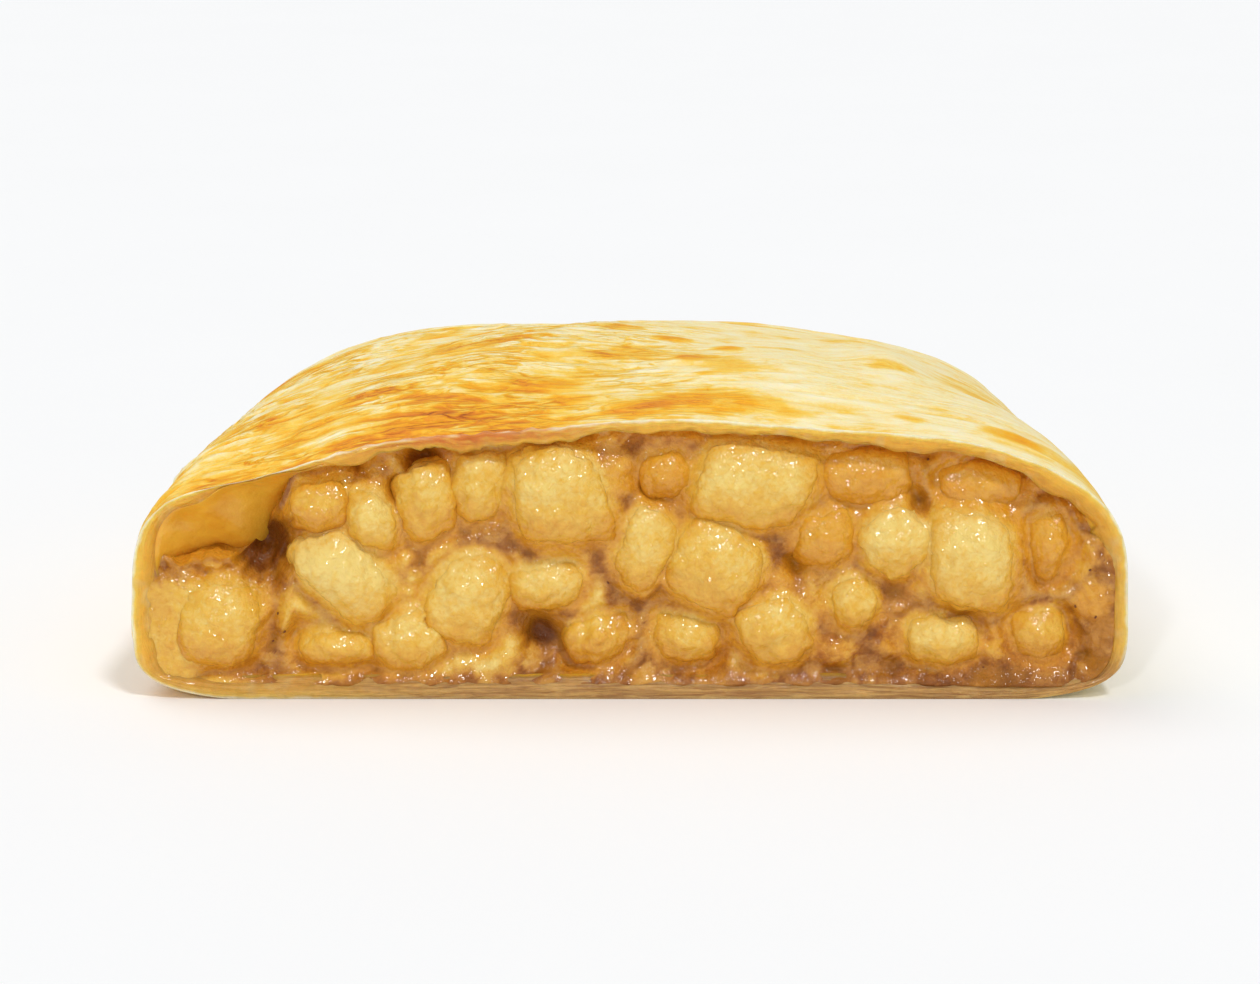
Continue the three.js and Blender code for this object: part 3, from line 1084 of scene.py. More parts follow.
    def outside(self, angle: Array) -> tuple[Array, Array, Array, Array]:
        """Shape the baked skin.

        Args:
            angle: the angles of the mesh's columns.

        Returns:
            Its points, how far along the arch and behind the cut each one lies, and how browned it is.
        """
        depth = self.depths(Inset(), self.ring_step)[:, None]
        plain = self.form.point(angle[None, :], depth, Inset())
        arc = self.arc(plain)
        up = smooth(plain[..., 2], 0.2, 2.2)
        wander = self.rim_wander(arc[:1]) * up[:1]
        moved = depth + wander * np.exp(-depth / self.rim_fade)
        points = self.form.point(angle[None, :], moved, Inset())
        relief = self.wrinkles(points[..., 0], arc, moved) * up
        fade = 0.35 + 0.65 * smooth(moved, 0.2, 2.5)
        height = relief * fade + self.blister_rise(points, moved) + self.folds(points, arc, moved) * up
        height += self.ear(points, moved) * up
        points = points + facing(points) * height[..., None]
        points[..., 2] = np.maximum(points[..., 2], 0)
        return points, arc, moved, self.browning(points, arc, moved, relief)

    def inside(self, angle: Array, arc: Array, lean: Array) -> tuple[Array, Array, Array]:
        """Shape the inner face, which sags into the pocket on the left.

        Args:
            angle: the angles of the mesh's columns.
            arc: how far along the arch each column lies at the cut.
            lean: how far the cut slopes back at each column.

        Returns:
            Its points, how far behind the cut each ring lies, and how deeply each point is soaked.
        """
        waist = self.form.waist
        deep = self.depths(self.wall, self.inner_step)[:, None]
        uneven = grain(41, arc / 7.5, deep / 9, layers=2)
        rough = grain(42, arc / 2.6, deep / 2.6)
        points = self.form.point(angle[None, :], deep + lean * np.exp(-deep / self.lean_fade), self.wall)
        over = smooth(points[..., 2], waist, waist + 8)
        sag = (0.25 + 0.75 * over) * np.clip(uneven, -0.35, 0.8) + (0.12 + 0.1 * over) * rough
        left = smooth(-points[..., 0], 26, 36) * smooth(points[..., 2], waist + 2, waist + 7)
        fall = hill(points[..., 0], self.curtain_at, self.curtain_wide) * smooth(deep, 0.6, 6.5)
        fall = fall * smooth(points[..., 2], waist + 1, waist + 6)
        ahead = 1 - smooth(deep, *self.curtain_end)
        sag = sag * (1 - smooth(deep, *self.sag_end)) + self.curtain * fall * ahead
        sag -= self.thinned * left * np.exp(-deep / self.thin_fade)
        ragged = grain(45, arc / 1.6, 0.0, layers=2)
        sag += 0.5 * hill(arc, self.torn_at, self.torn_edge) * ragged * np.exp(-deep / self.lean_fade)
        points = points - facing(points) * sag[..., None]
        soaked = smooth(deep, 0.5, self.soaked_by) + np.zeros(points.shape[:2])
        soaked = soaked + (self.least_soaked - soaked) * np.clip(1.6 * fall + left, 0, 1) * ahead
        return points, deep, soaked

    def edge(self, first: Array, last: Array, arc: Array, lean: Array) -> tuple[Array, Array, Array]:
        """Shape the cut face of the dough, between the skin and the inner face.

        Args:
            first: the skin's ring at the cut.
            last: the inner face's ring at the cut.
            arc: how far along the arch each column lies at the cut.
            lean: how far the cut slopes back at each column.

        Returns:
            Its points, the share of the wall in front of each ring, and how browned each point is.
        """
        share = (np.arange(1, self.edge_rings) / self.edge_rings)[:, None]
        share = share**self.edge_crowd
        points = first + (last - first) * share[..., None]
        torn = grain(43, arc / 1.8, share * 3, layers=2)
        set_back = self.knife + (first[:, 1] - self.knife) * (1 - smooth(share, 0.0, 0.1))
        set_back = set_back + lean * share**2 + 0.2 * torn * smooth(share, 0.0, 0.3)
        points[..., 1] = np.maximum(0, set_back)
        flaky = hill(arc, self.torn_at, self.torn_edge) * np.clip(0.9 + 0.9 * torn, 0, 1)
        return points, share, flaky * (1 - smooth(share, 0.4, 1))

    def build(self) -> bpy.types.Object:
        """Make the shell's mesh and dress it.

        Returns:
            The shell's object, with its three materials.
        """
        form = self.form
        angle = self.columns()
        outer, arc, moved, toast = self.outside(angle)
        first, rim_arc = outer[0], arc[:1]
        lean = self.lean(rim_arc, first)
        inner, deep, soaked = self.inside(angle, rim_arc, lean)
        last = inner[0]
        edge, share, flaky = self.edge(first, last, rim_arc, lean)
        finishes = (BakedCrust(), CutDough(), SoakedDough())
        crust, cut, soft = range(len(finishes))

        skin = Skin()
        back = slice(None, None, -1)
        flat = np.zeros(inner.shape[:2])
        skin.add(inner[back], soft, skin=filled(rim_arc + flat, deep + flat, 0.0)[back], toast=flat,
                 wall=flat + 1, damp=flat, inward=soaked[back], creased=flat)
        flat = np.zeros(edge.shape[:2])
        thick = share * np.linalg.norm((last - first)[:, [0, 2]], axis=-1)
        damp = self.dampness(first, last)[None, :] + flat
        low = 1 - smooth(first[:, 2], 2, 9)
        along = rim_arc * (1 - low) + first[:, 0] * low
        skin.add(edge[back], cut, skin=filled(along + flat, flat, thick)[back], toast=flaky[back],
                 wall=(thick / self.thick_wall)[back], damp=damp, inward=flat, creased=flat)
        flat = np.zeros(outer.shape[:2])
        skin.add(outer, crust, skin=filled(arc, moved, 0.0), toast=toast, wall=flat, damp=damp[:1] + flat,
                 inward=flat, creased=self.creased(outer[..., 0], moved))
        skin.finish[len(inner) + len(edge)] = cut
        start = np.array([0, form.length - self.wall.end, form.waist])
        end = np.array([0, form.length, form.waist])
        shell = skin.build("baked_crust", start, end, form.front)
        for finish in finishes:
            shell.data.materials.append(finish.build())
        return shell

    def dampness(self, outer: Array, inner: Array) -> Array:
        """Return how sodden the cut dough is: most at the base, some at the right wall."""
        middle = 0.5 * (outer + inner)
        low = 1 - smooth(middle[:, 2], 2.0, 6.0)
        right = 0.2 * smooth(middle[:, 0], 30, 46) * (1 - smooth(middle[:, 2], 12, 20))
        return np.clip(low * (1 - 0.6 * smooth(-middle[:, 0], 14, 42)) + right * (1 - low), 0, 1)

    def lean(self, arc: Array, outer: Array) -> Array:
        """Return how far the cut slopes back from the skin inward: a little on top, more at the sides."""
        below = 1 - smooth(outer[:, 2], self.form.waist + 6, self.form.waist + 14)
        right = smooth(outer[:, 0], 0, 40)
        wander = grain(44, arc / 5.0, 0.0, layers=2)
        return 0.3 + below * (0.9 + 0.5 * right) + 0.35 * below * wander


# --------------------------------------------------------------------------------------------------
# The filling.
# --------------------------------------------------------------------------------------------------


@dataclass(frozen=True)
class Hollow:
    """A gap between the apple dice, where the cut looks deeper into the filling and the mash is painted
    darker as shade.
    """

    across: float
    up: float
    radius: float
    depth: float


@dataclass(frozen=True)
class Mound:
    """A soft lump of fruit in the mash: its middle, half its width and height, its tones and its rise."""

    across: float
    up: float
    wide: float
    high: float
    soak: float
    rise: float = 1.2
    amber: float = 0.0


@dataclass(frozen=True)
class Face:
    """The face of the mash at the cut: how far behind it each point lies, and what its finish reads."""

    behind: Array
    soak: Array
    amber: Array
    mash: Array
    clear: Array


def evened(values: Array, rounds: int) -> Array:
    """Return values averaged with their neighbours, again and again."""
    for _ in range(rounds):
        padded = np.pad(values, 1, mode="edge")
        values = (padded[:-2, 1:-1] + padded[2:, 1:-1] + padded[1:-1, :-2] + padded[1:-1, 2:]) / 4
    return values


@dataclass
class FruitBed:
    """The soft mash that holds the dice: lumpy and wet at the cut, plain where the dough hides it."""

    form: StrudelForm
    dice: list[bpy.types.Object]
    inset: Inset = Inset(top=1.0, side=1.3, base=1.2, end=3.6)
    # Where the face and the air pocket lie.
    set_back: float = 2.3
    pocket_top: float = 14.0
    pocket_edge: float = -33.8
    pocket_soft: float = 5.5
    pocket_back: float = 14.0
    # The mesh of the face, and how the mash laps onto the dice.
    columns: int = 480
    rows: int = 100
    lap: float = 0.08
    sink: float = 0.4
    lap_wide: float = 1.8
    skirt_steep: float = 0.85
    deepest: float = 2.5
    rounds: int = 18
    # The next tone paints shade into points that lie deeper than their surroundings.
    cavity_shade: float = 0.5
    blend: float = 2.6
    edge_back: float = 0.8
    # The lumps of the mash, and its tones in the open and on the walls, with painted shade in the gaps, in
    # deep places and on faces turned down.
    large: Lumps = Lumps(size=4.4, height=1.5, shoulder=1.4, tilt=0.28, share=0.65)
    small: Lumps = Lumps(size=2.1, height=1.1, shoulder=0.75, tilt=0.3, share=0.75)
    crumbs: Lumps = Lumps(size=1.1, height=0.5, shoulder=0.4, tilt=0.2, share=0.6)
    lump_blend: float = 2.2
    right_soak: float = 0.09
    lift_share: float = 0.95
    usual_soak: float = 0.46
    # The next tone paints the hollows darker as shade.
    gap_shade: float = 0.22
    gap_clear: float = 0.85
    # The next tone paints faces turned down darker and faces turned up paler: painted shade and painted
    # light.
    under_shade: float = 0.14
    melt: float = 0.95
    nearest: float = 0.3
    hidden: tuple[tuple[str, float], ...] = (("soak", 0.42), ("amber", 0.8), ("mash", 0.5))
    wall_tone: float = 0.26
    wall_back: float = 0.62
    crust_amber: float = 0.9
    thin_web: float = 0.04
    hollows: tuple[Hollow, ...] = (
        Hollow(-8.8, 6.2, 2.3, 2.4),
        Hollow(-20.6, 23.8, 1.7, 3.2),
        Hollow(-23.0, 21.2, 1.2, 2.4),
        Hollow(2.4, 21.4, 1.0, 2.2),
        Hollow(29.0, 19.8, 1.0, 1.6),
        Hollow(16.6, 13.4, 1.0, 1.2),
        Hollow(27.0, 10.2, 1.4, 1.0),
        Hollow(34.0, 8.3, 2.6, 0.8),
        Hollow(-36.8, 15.2, 2.6, 4.6),
        Hollow(-43.2, 12.8, 0.9, 1.2),
    )
    mounds: tuple[Mound, ...] = (
        Mound(-18.5, 5.4, 6.5, 3.6, 0.2, 1.5),
        Mound(-21.0, 10.6, 3.2, 2.8, 0.24, 1.4),
        Mound(-18.2, 14.0, 2.6, 2.3, 0.28, 1.4),
        Mound(-23.4, 14.6, 2.2, 2.4, 0.3, 1.3, 0.3),
        Mound(-13.2, 4.6, 3.4, 2.8, 0.24, 1.4),
        Mound(-30.6, 3.4, 4.2, 1.9, 0.24, 1.4),
        Mound(-33.5, 8.6, 2.8, 3.2, 0.36, 1.7),
        Mound(-11.6, 12.6, 2.6, 2.4, 0.32, 1.3, 0.3),
        Mound(-7.6, 15.0, 2.4, 1.5, 0.36, 1.2, 0.4),
        Mound(-4.0, 9.4, 1.6, 2.4, 0.14, 1.6),
        Mound(-5.2, 14.2, 1.6, 1.8, 0.4, 1.2, 0.3),
        Mound(-1.6, 16.8, 1.9, 3.2, 0.26, 1.4),
        Mound(-2.8, 4.4, 3.4, 2.2, 0.34, 1.5),
        Mound(4.6, 5.2, 3.2, 2.4, 0.36, 1.4),
        Mound(9.0, 5.4, 2.0, 2.4, 0.36, 1.4),
        Mound(-0.8, 22.6, 1.8, 2.4, 0.4, 1.2, 0.9),
        Mound(4.8, 23.0, 1.8, 2.6, 0.38, 1.0, 0.9),
        Mound(13.2, 4.2, 3.6, 2.4, 0.26, 1.4),
        Mound(15.2, 11.6, 1.7, 2.2, 0.46, 1.2, 0.5),
        Mound(18.4, 9.6, 2.6, 2.4, 0.44, 1.2),
        Mound(16.6, 17.4, 1.8, 1.8, 0.44, 1.2, 0.6),
        Mound(20.6, 4.6, 2.8, 1.8, 0.56, 1.2),
        Mound(27.0, 5.6, 2.4, 2.2, 0.5, 1.2),
        Mound(28.6, 12.2, 2.0, 2.2, 0.42, 1.2, 0.3),
        Mound(34.0, 10.2, 2.6, 1.3, 0.46, 1.0),
        Mound(36.6, 5.6, 2.8, 2.6, 0.4, 1.3),
        Mound(42.2, 5.8, 2.6, 3.2, 0.3, 1.5),
        Mound(44.8, 14.4, 2.2, 2.6, 0.4, 1.6, 0.4),
        Mound(46.0, 9.8, 2.2, 2.4, 0.44, 1.2, 0.7),
        Mound(41.4, 18.4, 1.5, 1.4, 0.3, 1.5),
        Mound(38.6, 16.8, 0.9, 3.4, 0.5, 0.4, 1.0),
        Mound(-42.0, 12.8, 2.6, 1.4, 0.44, 1.2),
    )

    def ceiling(self, across: Array, depth: Array) -> Array:
        """Return how high the mash may reach: it leaves an air pocket beside the left wall."""
        edge, soft = self.pocket_edge, self.pocket_soft
        wanted = 1 - smooth(across, edge - soft, edge + soft)
        shallow = 1 - smooth(depth, self.pocket_back / 3, self.pocket_back)
        high = self.form.cut_top + self.form.crown_rise
        lumps = 1.3 * grain(59, across / 3.6, depth / 3.6)
        lumps = lumps + 0.5 * grain(50, across / 1.4, depth / 1.4)
        return high + (self.pocket_top + lumps - high) * wanted * shallow

    def outlines(self, across: Array, up: Array) -> tuple[Array, Array, Array]:
        """Return what the dice show of themselves at the cut.

        Args:
            across: distances from the middle, rows by columns.
            up: heights above the base, rows by columns.

        Returns:
            How far a dice lies behind the cut at each point, far off where there is none, and its soak and
            amber tones there.
        """
        points, faces, first = [], [], 0
        for dice in self.dice:
            points += [corner.co[:] for corner in dice.data.vertices]
            faces += [[first + number for number in face.vertices] for face in dice.data.polygons]
            first = len(points)
        tones = [np.concatenate([stored(dice, mark) for dice in self.dice]) for mark in ("soak", "amber")]
        tree = BVHTree.FromPolygons(points, faces)
        behind, soak, amber = np.full(across.shape, FAR), np.zeros(across.shape), np.zeros(across.shape)
        for at in np.ndindex(across.shape):
            eye = Vector((across[at], self.form.front - 9, up[at])) * MM
            hit, _, face, _ = tree.ray_cast(eye, Vector((0, 1, 0)))
            if hit is not None:
                behind[at] = hit.y / MM - self.form.front
                soak[at], amber[at] = tones[0][faces[face][0]], tones[1][faces[face][0]]
        return behind, soak, amber

    def eased(self, values: Array, across: Array, up: Array, steep: float) -> Array:
        """Return values that rise no steeper than a slope, away from where they are low."""
        eased = values.copy()
        aside, above = steep * np.abs(np.diff(across, axis=1)), steep * np.abs(np.diff(up, axis=0))
        for _ in range(self.rounds):
            eased[:, 1:] = np.minimum(eased[:, 1:], eased[:, :-1] + aside)
            eased[:, :-1] = np.minimum(eased[:, :-1], eased[:, 1:] + aside)
            eased[1:] = np.minimum(eased[1:], eased[:-1] + above)
            eased[:-1] = np.minimum(eased[:-1], eased[1:] + above)
        return eased

    def lumpy(self, across: Array, up: Array, bend: Array, rough: Array) -> tuple[Array, ...]:
        """Return the mash by itself, before the dice.

        Args:
            across: distances from the middle, rows by columns.
            up: heights above the base, rows by columns.
            bend: what warps the outlines of the lumps, in millimetres.
            rough: what roughens them, about -1 to 1.

        Returns:
            How high it stands, how deeply it is soaked with painted shade added in the grooves and at the
            mounds' rims, how much of its tone is that of amber syrup, and how far each point is mash, where
            it isn't a whole soft lump.
        """
        large = Cells.over(across + bend, up - bend, self.large.size, 52)
        small = Cells.over(across - 0.6 * bend, up + 0.6 * bend, self.small.size, 53)
        crumbs = Cells.over(across + 0.3 * bend, up, self.crumbs.size, 56)
        big_lumps, small_lumps = large.lumps(self.large), small.lumps(self.small)
        sharp = self.lump_blend
        lift = np.log(np.exp(sharp * big_lumps) + np.exp(sharp * small_lumps)) / sharp
        own = np.where(big_lumps > small_lumps, large.second, small.second)
        # Low ground between the lumps is painted darker: painted shade in the grooves.
        groove = 1 - smooth(lift, 0.4, 1.5)
        soak = self.usual_soak + 0.5 * (own - 0.5) + 0.2 * groove
        amber = 0.15 + 0.5 * smooth(grain(57, across / 5, up / 4, layers=2), 0.0, 0.6)
        plain = np.ones(across.shape)
        mash = np.ones(across.shape)
        for mound in self.mounds:
            reach = np.hypot((across + 0.5 * bend - mound.across) / mound.wide, (up - mound.up) / mound.high)
            share = 1 - smooth(reach * (1 + 0.2 * rough), 0.45, 1.25)
            domed = np.sqrt(np.maximum(1 - (reach / 1.25) ** 2, 0))
            lift = lift + (mound.rise * (0.4 + 0.9 * domed) - 0.75 * lift) * share
            # A mound's tone darkens toward its rim: painted shade where it curves away.
            soak = soak + (mound.soak + 0.3 * (soak - 0.42) + 0.14 * (1 - domed) - soak) * share
            amber = amber + (mound.amber - amber) * share
            plain = plain * (1 - 0.6 * share)
            mash = mash * (1 - 0.9 * share)
        lift = lift + crumbs.lumps(self.crumbs) * plain + 0.12 * rough * plain
        soak = soak + 0.16 * (crumbs.third - 0.5) * plain
        soak = soak + self.right_soak * smooth(across, 12, 30) * (1 - smooth(up, 6, 11))
        return lift, soak, amber, mash

    def gaps(self, across: Array, up: Array, bend: Array, rough: Array) -> Array:
        """Return how much deeper the face lies in the hollows between the dice."""
        sunk = np.zeros(across.shape)
        for hollow in self.hollows:
            reach = np.hypot(across - hollow.across, up - hollow.up) / hollow.radius
            reach = reach * (1 + 0.15 * rough + 0.2 * bend)
            sunk = np.maximum(sunk, hollow.depth * np.exp(-(reach**2)))
        return sunk

    def relief(self, across: Array, up: Array) -> Face:
        """Return the face of the mash, drawn up to the dice and sunk in the gaps.

        Args:
            across: distances from the middle, rows by columns.
            up: heights above the base, rows by columns.

        Returns:
            The face, with its depth in millimetres and each of its tones from 0 to 1.
        """
        bend = 1.1 * grain(51, across / 4.5, up / 4.5)
        rough = grain(54, across / 1.5, up / 1.5, layers=3)
        lift, soak, amber, mash = self.lumpy(across, up, bend, rough)
        sunk = self.gaps(across, up, bend, rough)
        depth = self.set_back + 0.4 - self.lift_share * lift

        behind, dice_soak_and_shade, own_amber = self.outlines(across, up)
        shown = behind < FAR
        apart = self.eased(np.where(shown, 0.0, FAR), across, up, 1.0)
        within = self.eased(np.where(shown, FAR, 0.0), across, up, 1.0)
        lap = -self.lap + (self.lap + self.sink) * smooth(within, 0, self.lap_wide) + 0.06 * rough
        lapped = behind + lap
        slope = self.eased(lapped, across, up, self.skirt_steep)
        dip = np.where(shown, -np.minimum(lapped, self.deepest), FAR)
        depth = np.maximum(depth, -self.eased(dip, across, up, self.skirt_steep))
        covered = np.maximum(depth, lapped)
        depth = np.where(shown, depth + (covered - depth) * smooth(within, 0.1, 0.8), depth)
        nearer = np.minimum(depth, slope)
        blended = np.exp(-self.blend * (depth - nearer)) + np.exp(-self.blend * (slope - nearer))
        blended = -np.log(blended) / self.blend
        depth = evened(nearer + blended * (1 - smooth(within, 0, 0.9)) + sunk, 2)
        # Painted shade: points deeper than their surroundings turn darker and more amber, faces turned down
        # darker, and faces turned up paler as painted light.
        cavity = np.clip((depth - evened(depth, self.rounds)) * self.cavity_shade, -0.2, 0.45)
        upward = np.gradient(depth, axis=0) / np.maximum(np.gradient(up, axis=0), 1e-3)
        cavity = cavity - self.under_shade * np.clip(upward, -1.2, 1.2)
        weight = evened(shown.astype(float), self.rounds)
        near = self.melt * np.exp(-((apart / 0.7) ** 2)) * (1 - np.clip(sunk, 0, 1)) * (weight > 1e-3)
        weight = np.maximum(weight, 1e-3)
        # The hollows and deep places are painted darker: painted shade.
        soak = soak + self.gap_shade * sunk + cavity
        soak = soak + (evened(dice_soak_and_shade, self.rounds) / weight + 0.4 * cavity - soak) * near
        amber = amber + 0.5 * np.clip(sunk, 0, 1) + np.clip(cavity, 0, 1)
        amber = amber + (evened(own_amber, self.rounds) / weight - amber) * near
        # Deep hollows lose the syrup tone, so they show the darker mash colour as painted shade.
        amber = np.minimum(amber, 1) * (1 - self.gap_clear * smooth(sunk, 1.0, 2.2))
        clear = smooth(apart, 0.5, 1.6) * (1 - np.clip(2 * sunk, 0, 1))
        return Face(np.maximum(depth, self.nearest), np.clip(soak, 0, 1), np.clip(amber, 0, 1),
                    mash * (1 - near), clear)

    def build(self) -> bpy.types.Object:
        """Make the bed's mesh and dress it.

        Returns:
            The bed's object.
        """
        form = self.form
        aside = np.sin(np.linspace(-1, 1, self.columns) * np.pi / 2)
        across, low, high = form.heights(aside, np.full(aside.shape, self.set_back), self.inset)
        high = np.minimum(high, self.ceiling(across, np.full(aside.shape, self.set_back)))
        high = np.maximum(high, low)
        rise = np.linspace(0, 1, self.rows)[:, None]
        up = low + (high - low) * rise
        across = across + np.zeros(up.shape)
        face = self.relief(across, up)
        under_crust = smooth(up - high, -4.0, -0.8) * smooth(across, self.pocket_edge, self.pocket_edge + 4)
        under_crust = under_crust * smooth(up, 12, 17)
        amber = np.maximum(face.amber, self.crust_amber * under_crust)
        mash = face.mash * (1 - under_crust)
        border = np.minimum(up - low, (1 - np.abs(aside)) * form.width / 2)
        right = smooth(across, 28, 40)
        lapped = (1 - smooth(border, 0.2, 1.8 + 1.8 * right * smooth(up, 1, 4))) * (1 - smooth(up, 17, 21))
        left = np.maximum(lapped * smooth(-across, 34, 42), 0.9 * smooth(-across, 41.5, 44.8))
        left = left * (1 - smooth(up + 1.2 * grain(58, across / 2, up / 2), 11, 14))
        uneven = (0.22 - 0.1 * right) * (1 - 0.4 * left) * grain(58, across / 2.4, up / 2.4, layers=2)
        onto_wall = np.clip(self.wall_back - 0.3 * right + uneven, 0.15, 1.4)
        face_y = face.behind + (onto_wall - face.behind) * np.maximum(lapped, left)
        face_y += self.edge_back * under_crust
        marks = {"soak": face.soak + (self.wall_tone - face.soak) * left, "amber": amber * (1 - left),
                 "mash": mash * (1 - left), "clear": face.clear}

        last = self.columns - 1
        length = form.length - self.inset.end
        fronts = (face_y[0], np.concatenate([face_y[0, :1], face_y[-1, 1:last], face_y[0, last:]]))
        rings = []
        for step in self.ring_depths(length):
            bottom_y, top_y = (front + step * (length - front) / length for front in fronts)
            x, bottom, _ = form.heights(aside, bottom_y, self.inset)
            x_top, floor, top = form.heights(aside, top_y, self.inset)
            ceiling = self.ceiling(x_top, top_y)
            lumps = 0.5 * grain(55, x_top / 3.0, top_y / 3.0, layers=2)
            webbed = ceiling + self.thin_web * (top - ceiling) + lumps
            top = np.maximum(np.where(top > ceiling, webbed, top), floor)
            lower = np.stack([x, bottom_y, bottom], axis=-1)
            upper = np.stack([x_top, top_y, top], axis=-1)
            rings.append(np.concatenate([lower, upper[::-1][1:-1]]))
        return self.join(np.stack([across, face_y, up], axis=-1), rings, marks)

    def ring_depths(self, length: float) -> Array:
        """Return the depths of the loops behind the face: close together beside the pocket, then apart."""
        near = np.arange(0.7, 1.5 * self.pocket_back, 0.95)
        far = np.linspace(near[-1] + 2.5, 0.84 * length, 8)
        return np.concatenate([near, far, length * np.linspace(0.87, 0.995, 7)])

    def join(self, face: Array, rings: list[Array], marks: dict[str, Array]) -> bpy.types.Object:
        """Join the face and the hidden sides into one closed mesh.

        Args:
            face: points of the face, rows by columns.
            rings: loops of points behind the face.
            marks: values for each point of the face, stored on the mesh by name.

        Returns:
            The bed's object.
        """
        rows, columns = face.shape[:2]
        number = np.arange(rows * columns).reshape(rows, columns)
        quads = np.stack([number[:-1, :-1], number[:-1, 1:], number[1:, 1:], number[1:, :-1]], axis=-1)
        faces = quads.reshape(-1, 4).tolist()
        rim = np.concatenate([number[0], number[-1][::-1][1:-1]])
        around = len(rim)
        start = rows * columns
        for i in range(len(rings)):
            ring = start + i * around + np.arange(around)
            faces += np.stack([rim, ring, np.roll(ring, -1), np.roll(rim, -1)], axis=-1).tolist()
            rim = ring
        tip = start + len(rings) * around
        faces += [(int(a), tip, int(b)) for a, b in zip(rim, np.roll(rim, -1))]
        end = [[0, self.form.length - self.inset.end, self.form.waist]]
        cloud = np.concatenate([face.reshape(-1, 3), *rings, end]) + [0, self.form.front, 0]
        bed = mesh_object("fruit_bed", cloud, faces)
        behind = len(cloud) - start
        for mark, value in self.hidden:
            store(bed, mark, np.concatenate([marks[mark].ravel(), np.full(behind, value)]))
        inner = smooth(np.minimum(np.arange(rows), np.arange(rows)[::-1]), 2, 5)[:, None]
        inner = inner * smooth(np.minimum(np.arange(columns), np.arange(columns)[::-1]), 6, 14)
        store(bed, "shown", np.concatenate([(inner * marks["clear"]).ravel(), np.zeros(behind)]))
        weld(bed.data, outward=True)
        bed.data.materials.append(CookedFruit("cooked-down apple mash").build())
        return bed


class Cooked(Enum):
    """How a dice has taken up the juice, by how deeply it is soaked."""

    SYRUPY = 0.36
    DULL = 0.32
    PLAIN = 0.18
    PALE = 0.08


